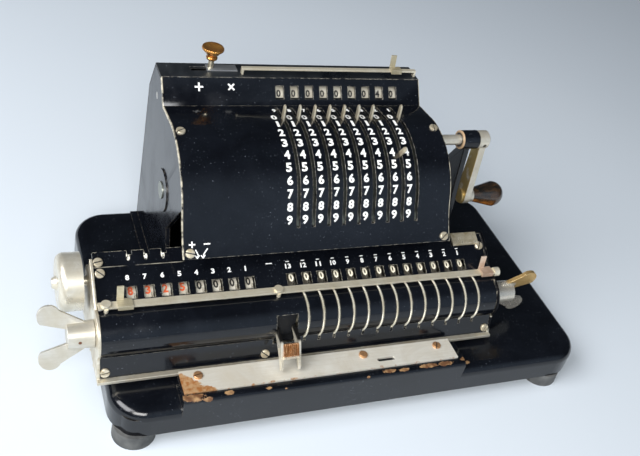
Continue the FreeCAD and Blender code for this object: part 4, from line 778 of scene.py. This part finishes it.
def half_head(foot, out, turn, side):
    """Half a screw head: a half circle drawn up in rings that shrink as the edge rounds, but
    never past the slot's wall."""
    start = math.asin(SLOT_HALF / SCREW_REACH)
    angle = np.linspace(start, math.pi - start, 17)
    rise = SCREW_HEIGHT - np.array([SCREW_HEIGHT, 0.55, 0.22, 0.05, 0.0])
    reach = SCREW_REACH * np.array([1.0, 1.0, 0.95, 0.86, 0.70])[:, None]
    away = np.maximum(reach * np.sin(angle), SLOT_HALF) * side
    return on_axis(foot, out, turn, reach * np.cos(angle), away, rise)


def slot_floor(foot, out, turn):
    """A thin black disc of painted shade that lies under both halves and shows only in the slot.
    """
    angle = np.arange(24) * 2 * math.pi / 24
    reach = np.full((2, 1), SCREW_REACH * 0.97)
    return on_axis(foot, out, turn, reach * np.cos(angle), reach * np.sin(angle),
                   np.array([0.05, SCREW_HEIGHT * 0.45]))


LIP_SLOPE, FACE_SLOPE = (0.0, -0.43, 0.903), (0.0, -0.514, 0.858)
FACE_SCREWS = [
    # foot on the carriage's face, and the way it points
    ((-134.3, -20.2, 77.2), LIP_SLOPE), ((-133.9, -25.6, 74.3), FACE_SLOPE),
    ((98.3, -25.9, 74.1), FACE_SLOPE)]
TURNS = [12, -40, 63, 28, -15, 80, 40]
for name, places, body, replaced in (
        ("frame_screw_heads", screw_places("frame_screws", 7), "frame", ("frame_screws",)),
        ("carriage_screw_heads", screw_places("carriage_screws", 3), "carriage",
         ("carriage_screws",)),
        ("face_screw_heads", FACE_SCREWS, "carriage", ())):
    heads, slot_shades = [], []
    for (foot, out), turn in zip(places, TURNS):
        heads += [half_head(foot, out, turn, side) for side in (1, -1)]
        slot_shades.append(slot_floor(foot, out, turn))
    piece(name, together(heads), body, SCREW, replaced, soft=25.0)
    # the slot discs are painted shade, in rough black
    piece(name.replace("heads", "slots"), together(slot_shades), body, SHADE_BLACK)
    print(name, len(places))

# %% [markdown]
# ## Figures that lie on curved faces
# The machine's figures are stamped and filled with paint. A figure from Blender's own
# font is flat, so it is cut level into bands and then wrapped: a surface is a function
# that takes a distance across, a distance along and a height off it, and gives a point.
# The same figures then serve the cover, the sloping number face and the round drums.

# %% Cut a figure from the font
BOLD, BANDS, PAINT_DEEP = 0.035, 5, 0.12
HALF_SQUARE = [(-0.5, -0.5), (0.5, -0.5), (0.5, 0.5), (-0.5, 0.5)]
BAR, BAR_FACES = capped(np.array([[(x, y, z) for x, y in HALF_SQUARE] for z in (-0.5, 0.5)]))


@functools.cache
def glyph(text):
    """A number as a thin closed solid, one unit tall, centred, and cut into level bands."""
    curve = bpy.data.curves.new("figure", "FONT")
    curve.body, curve.offset, curve.extrude, curve.resolution_u = text, BOLD, 0.5, 2
    holder = bpy.data.objects.new("figure", curve)
    mesh = bpy.data.meshes.new_from_object(holder)
    work = bmesh.new()
    work.from_mesh(mesh)
    bmesh.ops.remove_doubles(work, verts=work.verts, dist=1e-5)
    heights = [vert.co.y for vert in work.verts]
    low, high = min(0.0, *heights), max(heights)
    for level in np.linspace(low, high, BANDS + 1)[1:-1]:
        bmesh.ops.bisect_plane(work, geom=work.verts[:] + work.edges[:] + work.faces[:],
                               plane_co=(0, level, 0), plane_no=(0, 1, 0))
    work.verts.index_update()
    points = np.array([vert.co[:] for vert in work.verts])
    faces = [[vert.index for vert in face.verts] for face in work.faces]
    work.free()
    bpy.data.objects.remove(holder)
    bpy.data.meshes.remove(mesh)
    middle_x = (points[:, 0].min() + points[:, 0].max()) / 2
    return (points - [middle_x, (low + high) / 2, 0]) / [high - low, high - low, 1], faces


def figure(surface, text, x, along, height, width, deep=PAINT_DEEP):
    """A number of a given height and width, centred at a place on a surface."""
    points, faces = glyph(text)
    wide = points[:, 0].max() - points[:, 0].min()
    flat = points[:, :2] * [min(width / wide, height * 1.3), height]
    return surface(x + flat[:, 0], along - flat[:, 1], points[:, 2] * deep), faces


def stroke(surface, start, end, width):
    """A straight painted line between two (across, along) places on a surface."""
    start, end = np.array(start), np.array(end)
    length = np.linalg.norm(end - start)
    run = (end - start) / length
    side = np.array([-run[1], run[0]])
    flat = ((start + end) / 2 + BAR[:, :1] * width * side
            + BAR[:, 1:2] * (length + width * 0.5) * run)
    return surface(flat[:, 0], flat[:, 1], BAR[:, 2] * PAINT_DEEP), BAR_FACES


def crossed(surface, centre, reach, width, lean=0.0):
    """Two strokes across each other: a plus, or with a lean of 45 degrees a cross."""
    arms = [reach * np.array([math.cos(math.radians(turn)), math.sin(math.radians(turn))])
            for turn in (lean, lean + 90.0)]
    return [stroke(surface, centre - arm, centre + arm, width) for arm in arms]


print("a figure 8 has", len(glyph("8")[1]), "faces")

# %% [markdown]
# ## Three kinds of surface to paint on
# A drum is the simplest: the distance along is an angle times the radius. A flat face
# runs straight from one line to another. The front cover is three of these in a row: a
# shelf, a drum, and a lip that flares the other way, met at the same slopes.

# %% Describe the painted surfaces
STRIP_TOP, STRIP_FOOT = (55.2, 144.6), (44.7, 132.0)
COVER_RADIUS, FLARE_RADIUS, LIP_START = 45.5, 70.0, 157.0
LIP_LEAN = math.radians(LIP_START)
LIP_CENTRE = DRUM + (COVER_RADIUS + FLARE_RADIUS) * np.array([math.cos(LIP_LEAN),
                                                              math.sin(LIP_LEAN)])


def round_drum(axis, radius, start):
    """Along runs forward from the angle `start`: angle = start + along / radius."""
    def surface(x, along, out):
        angle = math.radians(start) + along / radius
        reach = radius + out
        return np.stack([x, axis[0] + reach * np.cos(angle), axis[1] + reach * np.sin(angle)], -1)
    return surface


def flat_face(start, end):
    """Along runs straight from the line at `start` towards the one at `end`, both (y, z)."""
    start, end = np.array(start), np.array(end)
    run = (end - start) / np.linalg.norm(end - start)
    out_way = np.array([run[1], -run[0]])

    def surface(x, along, out):
        return np.column_stack([x, start + along[:, None] * run + out[:, None] * out_way])
    return surface


def cover_along(angle):
    """How far along the cover the drum's angle lies."""
    return COVER_RADIUS * math.radians(angle - 90.0)


def lip_along(y):
    """How far along the cover a point of its lip with this y lies."""
    return cover_along(LIP_START) + FLARE_RADIUS * (
        LIP_LEAN - math.pi + math.acos((y - LIP_CENTRE[0]) / FLARE_RADIUS))


def cover_face(x, along, out):
    """The cover: a shelf where along < 0, then the drum, then the flare of its lip."""
    drum_top = DRUM + [0.0, COVER_RADIUS]
    shelf = flat_face(drum_top, 2 * drum_top - STRIP_FOOT)(x, along, out)
    drum = round_drum(DRUM, COVER_RADIUS, 90.0)(x, along, out)
    turn = cover_along(LIP_START)
    lip = round_drum(LIP_CENTRE, -FLARE_RADIUS, LIP_START)(x, along - turn, out)
    along = along[:, None]
    return np.where(along < 0, shelf, np.where(along < turn, drum, lip))


number_face = flat_face(FACE_TOP, FACE_FOOT)
window_strip = flat_face(STRIP_TOP, STRIP_FOOT)
print("the lip starts %.1f mm along the cover" % cover_along(LIP_START))

# %% [markdown]
# ## White figures on the cover
# Beside each slot stand the figures 0 to 9, one for each click of its lever, so they are
# as far apart as the lever's clicks. A small figure at the head of the slot counts the
# column from the right. On the lip a plus and a minus point at the carriage, and on the
# window strip a plus and a cross stand for the ways of working, adding and multiplying.

# %% Paint the cover
CLICK, FIRST_FIGURE = 9.3, 83.0
BESIDE_SLOT, COLUMN_SIDE, COLUMN_ALONG = -5.2, -2.3, -14.2
FIGURE_SIZE, COLUMN_SIZE = (5.2, 3.5), (3.6, 2.3)
MODE_PLUS, MODE_CROSS, MODE_REACH, MODE_WIDTH = (-70.95, 5.6), (-52.0, 5.6), 2.2, 1.0
SIGN_Y, PLUS_X, MINUS_X = -26.4, -87.0, -78.8
PLUS_REACH, MINUS_REACH, SIGN_WIDTH = 1.55, 1.6, 0.75
BARB_SIDE, BARB_LONG, ARROW_WIDTH = 1.1, 1.4, 0.6
ARROWS = [[(-85.2, -28.2), (-83.9, -30.1), (-84.5, -31.2)],
          [(-78.7, -28.0), (-80.9, -29.9), (-81.3, -31.2)]]

marks = []
for place, slot_x in enumerate(SLOTS, start=1):
    for value in range(10):
        along = cover_along(FIRST_FIGURE + CLICK * value)
        marks.append(figure(cover_face, str(value), slot_x + BESIDE_SLOT, along, *FIGURE_SIZE))
    marks.append(figure(cover_face, str(place), slot_x + COLUMN_SIDE, COLUMN_ALONG, *COLUMN_SIZE))
marks += crossed(window_strip, MODE_PLUS, MODE_REACH, MODE_WIDTH)
marks += crossed(window_strip, MODE_CROSS, MODE_REACH, MODE_WIDTH, lean=45.0)
along = lip_along(SIGN_Y)
marks += crossed(cover_face, (PLUS_X, along), PLUS_REACH, SIGN_WIDTH)
marks.append(stroke(cover_face, (MINUS_X - MINUS_REACH, along), (MINUS_X + MINUS_REACH, along),
                    SIGN_WIDTH))
for arrow in ARROWS:
    tail, bend, tip = [(x, lip_along(y)) for x, y in arrow]
    barbs = [(tip[0] + side, tip[1] - BARB_LONG) for side in (-BARB_SIDE, BARB_SIDE)]
    marks += [stroke(cover_face, start, stop, ARROW_WIDTH)
              for start, stop in ((tail, bend), (bend, tip), (barbs[0], tip), (barbs[1], tip))]
cover_figures = piece("cover_figures", together(marks), "frame", WHITE_PAINT)
print("cover figures:", len(marks), "marks,", len(cover_figures.data.polygons), "faces")

# %% [markdown]
# ## Labels on the number face
# Above each window of the carriage a small figure gives its place, with a short tick over
# it. A longer dash parts the counter's eight places from the result's thirteen.

# %% Paint the number face
COUNTER_X = [middle("counter_wheel_%d" % place)[0] for place in range(1, 9)]
wheel_low, wheel_high = corners("counter_wheel_1")
FIRST_RESULT = corners("result_wheels")[1][0] - (wheel_high[0] - wheel_low[0]) / 2
RESULT_X = [FIRST_RESULT - PITCH * place for place in range(13)]
COUNTER_SIDE, COUNTER_DOWN = -1.4, 6.6
RESULT_SIDE, RESULT_DOWN = -0.8, 7.2
LABEL_HIGH, ONE_WIDE, TWO_WIDE = 2.9, 2.1, 3.5
TICK_LEFT, TICK_RIGHT, TICK_DOWN, TICK_WIDTH = -1.7, 0.1, 4.5, 0.5
DASH_LEFT, DASH_RIGHT, DASH_DOWN, DASH_WIDTH = -42.6, -39.2, 4.9, 0.6

marks = []
for place, wheel_x in enumerate(COUNTER_X, start=1):
    marks.append(figure(number_face, str(place), wheel_x + COUNTER_SIDE, COUNTER_DOWN, LABEL_HIGH,
                        ONE_WIDE))
for place, wheel_x in enumerate(RESULT_X, start=1):
    marks.append(figure(number_face, str(place), wheel_x + RESULT_SIDE, RESULT_DOWN, LABEL_HIGH,
                        ONE_WIDE if place < 10 else TWO_WIDE))
    marks.append(stroke(number_face, (wheel_x + TICK_LEFT, TICK_DOWN),
                        (wheel_x + TICK_RIGHT, TICK_DOWN), TICK_WIDTH))
marks.append(stroke(number_face, (DASH_LEFT, DASH_DOWN), (DASH_RIGHT, DASH_DOWN), DASH_WIDTH))
piece("label_figures", together(marks), "carriage", WHITE_PAINT)
print("labels over", len(COUNTER_X), "counter and", len(RESULT_X), "result windows")

# %% [markdown]
# ## Figures round the number drums
# A drum turns a tenth of a turn for each unit, so its figures stand 36 degrees apart and
# the one that the window shows is the drum's value. The counter's four left drums have
# been left at 8, 3, 2 and 5 in red, its sign for counting down; all others show nought.
# The dials behind the cover's windows repeat what the levers set: the second stands at 4.

# %% Paint the drums and the dials
# the axis, the painted radius, the window's angle and the figures' height and width
COUNTER_DRUM, RESULT_DRUM = (WHEEL, 11.5, 111.8, 4.9, 2.9), (WHEEL, 11.5, 111.8, 5.0, 3.0)
CHECK_DRUM = (DIAL, 10.4, 140.4, 4.4, 2.8)
COUNTER_OFF, RESULT_OFF, CHECK_OFF = -0.15, 0.8, 3.85
DRUM_DEEP = 0.1
SHOWN, SET = {8: 8, 7: 3, 6: 2, 5: 5}, {2: 4}


def drum_figures(drum, middle_x, shown=0):
    """The figures 0 to 9 round a drum, with `shown` at the window's angle."""
    axis, radius, window, height, width = drum
    return [figure(round_drum(axis, radius, window + 36.0 * (value - shown)), str(value), middle_x,
                   0.0, height, width, DRUM_DEEP) for value in range(10)]


def paint_drum(name, marks, body, paint):
    """The figures of a drum as one piece; their faces are flat."""
    piece(name, together(marks), body, paint).data.shade_flat()


for place, wheel_x in enumerate(COUNTER_X, start=1):
    marks = drum_figures(COUNTER_DRUM, wheel_x + COUNTER_OFF, SHOWN.get(place, 0))
    paint_drum("counter_figures_%d" % place, marks, "counter_%d" % place,
               RED_PAINT if place in SHOWN else BLACK_PAINT)
marks = [mark for wheel_x in RESULT_X for mark in drum_figures(RESULT_DRUM, wheel_x + RESULT_OFF)]
paint_drum("result_figures", marks, "result_drums", CREAM_PAINT)
for place, slot_x in enumerate(SLOTS, start=1):
    marks = drum_figures(CHECK_DRUM, slot_x + CHECK_OFF, SET.get(place, 0))
    paint_drum("dial_figures_%d" % place, marks, "dial_%d" % place, BLACK_PAINT)
print("figures on", len(COUNTER_X) + len(RESULT_X), "drums and", len(SLOTS), "dials")

# %% [markdown]
# ## Levers with toothed rings
# Behind each slot turns a ring whose rim is cut into fine teeth, and they glint through
# the slot. A bright finger tab stands out of the ring. The ring is a profile turned about
# the drum's axis, with the rim's radius going in and out along the way round.

# %% Turn the toothed rings
RING_REACH, RING_HALF, RING_BORE = 42.6, 0.55, 12.35
RING_TEETH, RING_NOTCH = 110, 1.1
TAB_ROOT, TAB_REACH, TAB_HALF = RING_REACH - 4.0, 54.0, 1.9
TAB_ANGLE = 84.5


def turned(profile, centre, teeth, depth, upright=False):
    """A profile [(along, radius, is_rim), ...] turned about a line along X, or upright; at
    the rim the radius falls between teeth: r = radius - depth * |triangle(angle)|."""
    along, radius, rim = np.array(profile, float).T[:, :, None]
    steps = np.arange(teeth * 4)
    angle = steps * 2 * math.pi / len(steps)
    reach = radius - depth * rim * (np.abs(steps % 4 - 2) / 2)
    flat = [centre[0] + reach * np.cos(angle), centre[1] + reach * np.sin(angle)]
    along = np.broadcast_to(along, reach.shape)
    return np.stack([*flat, along] if upright else [along, *flat], -1)


def toothed(profile, centre, teeth, depth):
    """A profile that closes on itself, turned into a full ring about a line along X."""
    return rings(turned(profile + profile[:1], centre, teeth, depth))


def finger_tab(x, angle):
    """A flat tab that narrows to a round end: half width w(t) along its length t, with
    the long edges rolled."""
    share = np.linspace(0, 1, 22)
    along = TAB_ROOT + share * (TAB_REACH - TAB_ROOT)
    end = np.clip((share - 0.80) / 0.20, 0, 1)
    half = np.maximum(TAB_HALF * (1.0 - 0.25 * share) * np.sqrt(1 - end ** 2), 0.05)[:, None]
    loop = np.array([(-1, -0.6), (-0.85, -1), (0.85, -1), (1, -0.6), (1, 0.6), (0.85, 1),
                     (-0.85, 1), (-1, 0.6)])
    side = half * loop[:, 0]
    thick = np.minimum(RING_HALF, half * 0.8 + 0.12) * loop[:, 1]
    lean = math.radians(angle)
    outward = np.array([math.cos(lean), math.sin(lean)])
    sideways = np.array([-outward[1], outward[0]])
    flat = DRUM + along[:, None, None] * outward + side[..., None] * sideways
    return capped(np.concatenate([(x + thick)[..., None], flat], -1))


def under_rim(tree):
    """A mask of all that lies deeper than the polished rim of a ring, painted black as shade in
    the slot.
    """
    reach = distance(tree, (0.0, *DRUM), (0.0, 1.0, 1.0))
    return scaled(tree, reach, (RING_REACH - 0.2) * MM, (RING_REACH - 0.55) * MM)


# Painted shade: below its rim the ring is painted black, so the slot looks dark with only the
# teeth bright.
tint(STEEL_RING, DEEP_BLACK, (under_rim,))
for place, slot_x in enumerate(SLOTS, start=1):
    left, right = slot_x - RING_HALF, slot_x + RING_HALF
    ring = toothed([(left, RING_BORE, 0), (left, RING_REACH, 1), (right, RING_REACH, 1),
                    (right, RING_BORE, 0)], DRUM, RING_TEETH, RING_NOTCH)
    tab = finger_tab(slot_x, TAB_ANGLE + CLICK * SET.get(place, 0))
    made = piece("lever_%d" % place, together([ring, tab]), "lever_%d" % place, STEEL_RING,
                 ("setting_lever_%d" % place,), soft=25.0)
print(len(SLOTS), "levers with", RING_TEETH, "teeth each")

# %% [markdown]
# ## Serrated setting discs
# Thirteen thin discs stand out of the carriage's barrel, and a finger rolls them to set
# the result by hand. Their rims are cut like a coin's edge so that they grip.

# %% Turn the setting discs
DISC_REACH, DISC_THICK, DISC_BORE = 14.6, 0.9, 3.06
DISC_TEETH, DISC_NOTCH, DISC_BEVEL = 66, 0.75, 0.2
PINION_REACH = np.linalg.norm(WHEEL - BARREL) / 3 - 0.15
disc_low, disc_high = corners("result_setting_wheels")
discs = []
for place in range(len(RESULT_X)):
    left = disc_high[0] - DISC_THICK - PITCH * place
    right, hub = left + DISC_THICK, disc_low[0] + PITCH * (len(RESULT_X) - 1 - place)
    discs.append(toothed([(left, PINION_REACH, 0), (left, DISC_REACH - DISC_BEVEL, 1),
                          (left + DISC_BEVEL, DISC_REACH, 1), (right - DISC_BEVEL, DISC_REACH, 1),
                          (right, DISC_REACH - DISC_BEVEL, 1), (right, DISC_BORE, 0),
                          (hub, DISC_BORE, 0), (hub, PINION_REACH, 0)],
                         BARREL, DISC_TEETH, DISC_NOTCH))
rims = piece("serrated_rims", together(discs), "setting_discs", NICKEL_RIM,
             ("result_setting_wheels",), soft=25.0)
print(len(discs), "discs,", len(rims.data.polygons), "faces")

# %% [markdown]
# ## The knob of the way-of-working slide
# The knob on the top plate is a brass mushroom: a thin stem, a neck, and a cone that
# opens to a coin-edged rim, worn to copper by the hand. A profile turned about its own
# upright axis gives it, with the rim's radius rippled for the grip.

# %% Turn the knob
knob_low, knob_high = corners("mode_knob")
foot, top, reach = KNOB_FOOT, knob_high[2], (knob_high[0] - knob_low[0]) / 2
KNOB = [
    # height, radius, and 1 where the rim is cut
    (foot, 1.7, 0), (foot + 4.6, 1.7, 0), (foot + 5.3, 2.6, 0), (foot + 5.7, 3.2, 0),
    (foot + 6.6, 3.3, 0), (foot + 7.2, 2.7, 0), (foot + 7.8, 2.8, 0), (foot + 8.6, 3.6, 0),
    (foot + 10.0, 4.8, 0), (foot + 11.2, 5.7, 0), (top - 1.7, reach - 0.15, 1),
    (top - 1.3, reach, 1), (top - 0.6, reach, 1), (top - 0.2, reach - 0.3, 0),
    (top, reach - 0.9, 0), (top - 0.35, reach - 1.6, 0), (top - 0.9, reach - 3.0, 0),
    (top - 1.3, 1.4, 0), (top - 1.35, 0.6, 0)]
shape = capped(turned(KNOB, middle("mode_knob")[:2], 30, 0.3, upright=True))
piece("way_knob", shape, "mode", AMBER, ("mode_knob",), soft=50.0)
print("knob %.1f mm across" % (2 * reach))

# %% [markdown]
# ## The key that frees the carriage
# A bent sheet key stands in front of the barrel: two pointed cheeks and a web between
# them that the finger presses. The web is rubbed down to copper and ribbed upright, and
# the front edges of the cheeks are notched for grip. Cheek and web are outlines carried
# along X; the ribs are a cosine added to the web's front. A dull black sheet behind the key
# is painted shade: it stands for the shaded inside of the barrel.

# %% Bend the key
key_low, key_high = corners("shift_key")
CHEEK, KEY_HEAD, NOTCH_STEPS = 1.4, 3.3, 57
RIBS, RIB_HIGH, RIM_HIGH, WEB_THICK = 8, 0.42, 0.55, 1.1
# the black sheet of painted shade behind the key: its y, foot, top, thickness and lip
SHADE_SHEET_Y, SHADE_SHEET_LOW, SHADE_SHEET_TOP, SHADE_SHEET_THICK, SHADE_SHEET_LIP = -52.4, 41.2, 60.3, 0.6, 4.2


def cheek_outline():
    """The cheek from its small round head down the notched front edge to its point."""
    head = [(KEY_PIVOT[0] + KEY_HEAD * math.cos(a), KEY_PIVOT[1] + KEY_HEAD * math.sin(a))
            for a in np.linspace(-0.3, math.pi * 0.55, 12)]
    start, end = np.array([-66.6, 50.9]), np.array([key_low[1] + 0.3, key_low[2] + 2.6])
    share = np.linspace(0, 1, NOTCH_STEPS)
    notch = np.abs(np.arange(NOTCH_STEPS) % 4 - 2) / 2 * np.clip(share * 3 - 0.8, 0, 1)
    front = start + share[:, None] * (end - start) + notch[:, None] * [0.55, -0.1]
    foot = [(key_low[1] + 0.4, key_low[2] + 0.3), (key_low[1] + 1.2, key_low[2]),
            (key_low[1] + 2.4, key_low[2] + 0.4), (-69.0, 40.2), (-65.6, 43.0),
            (KEY_PIVOT[0] - 2.0, KEY_PIVOT[1] - 3.0)]
    return np.vstack([head, front, foot])


def ribbed_web():
    """A sheet between the cheeks with upright ribs, rolled outward at its lower rim."""
    across = np.linspace(key_low[0] + CHEEK, key_high[0] - CHEEK, 67)
    top, foot = np.array([KEY_PIVOT[0] - 9.2, KEY_PIVOT[1] + 0.3]), np.array([-72.4, 43.5])
    share = np.linspace(0, 1, 22)
    line = top + share[:, None] * (foot - top)
    run = (foot - top) / np.linalg.norm(foot - top)
    out_way = np.array([run[1], -run[0]])
    wave = np.cos(2 * math.pi * RIBS * (across - across[0]) / (across[-1] - across[0]))
    ribs = RIB_HIGH * wave * np.where((share > 0.05) & (share < 0.84), 1, 0)[:, None]
    rim = RIM_HIGH * np.exp(-((share - 0.95) / 0.05) ** 2)[:, None]
    front = line[:, None, :] + (ribs + rim)[..., None] * out_way
    back = np.broadcast_to((line - WEB_THICK * out_way)[:, None, :], front.shape)
    sheet = np.concatenate([front, back[::-1]])
    sides = np.broadcast_to(across[None, :, None], sheet.shape[:2] + (1,))
    return capped(np.concatenate([sides, sheet], -1).transpose(1, 0, 2))


cheek = cheek_outline()
cheeks = together([along_x(cheek, key_low[0], key_low[0] + CHEEK),
                   along_x(cheek, key_high[0] - CHEEK, key_high[0])])
key_cheeks = piece("key_cheeks", cheeks, "key", NICKEL_KEY, ("shift_key",), soft=25.0)
roll_edges(key_cheeks, 0.1)
piece("key_web", ribbed_web(), "key", COPPER, soft=40.0)

# Painted shade: a rough black sheet behind the key, where the barrel's inside lies in shade.
lip_y, back_y = SHADE_SHEET_Y - SHADE_SHEET_LIP, SHADE_SHEET_Y + SHADE_SHEET_THICK
shelf_z = SHADE_SHEET_LOW + SHADE_SHEET_THICK
shade_sheet = along_x([(lip_y, SHADE_SHEET_LOW), (lip_y, shelf_z), (SHADE_SHEET_Y, shelf_z),
                  (SHADE_SHEET_Y, SHADE_SHEET_TOP), (back_y, SHADE_SHEET_TOP), (back_y, SHADE_SHEET_LOW)],
                 key_low[0] - 1.6, key_high[0] + 1.4)
piece("key_shade_sheet", shade_sheet, "carriage", SHADE_BLACK)
print("key %.1f mm wide, with a dull lining behind it" % (key_high[0] - key_low[0]))

# %% Measure and finish
print("CAD box", [round(v, 4) for v in (*cad_low, *cad_high)])
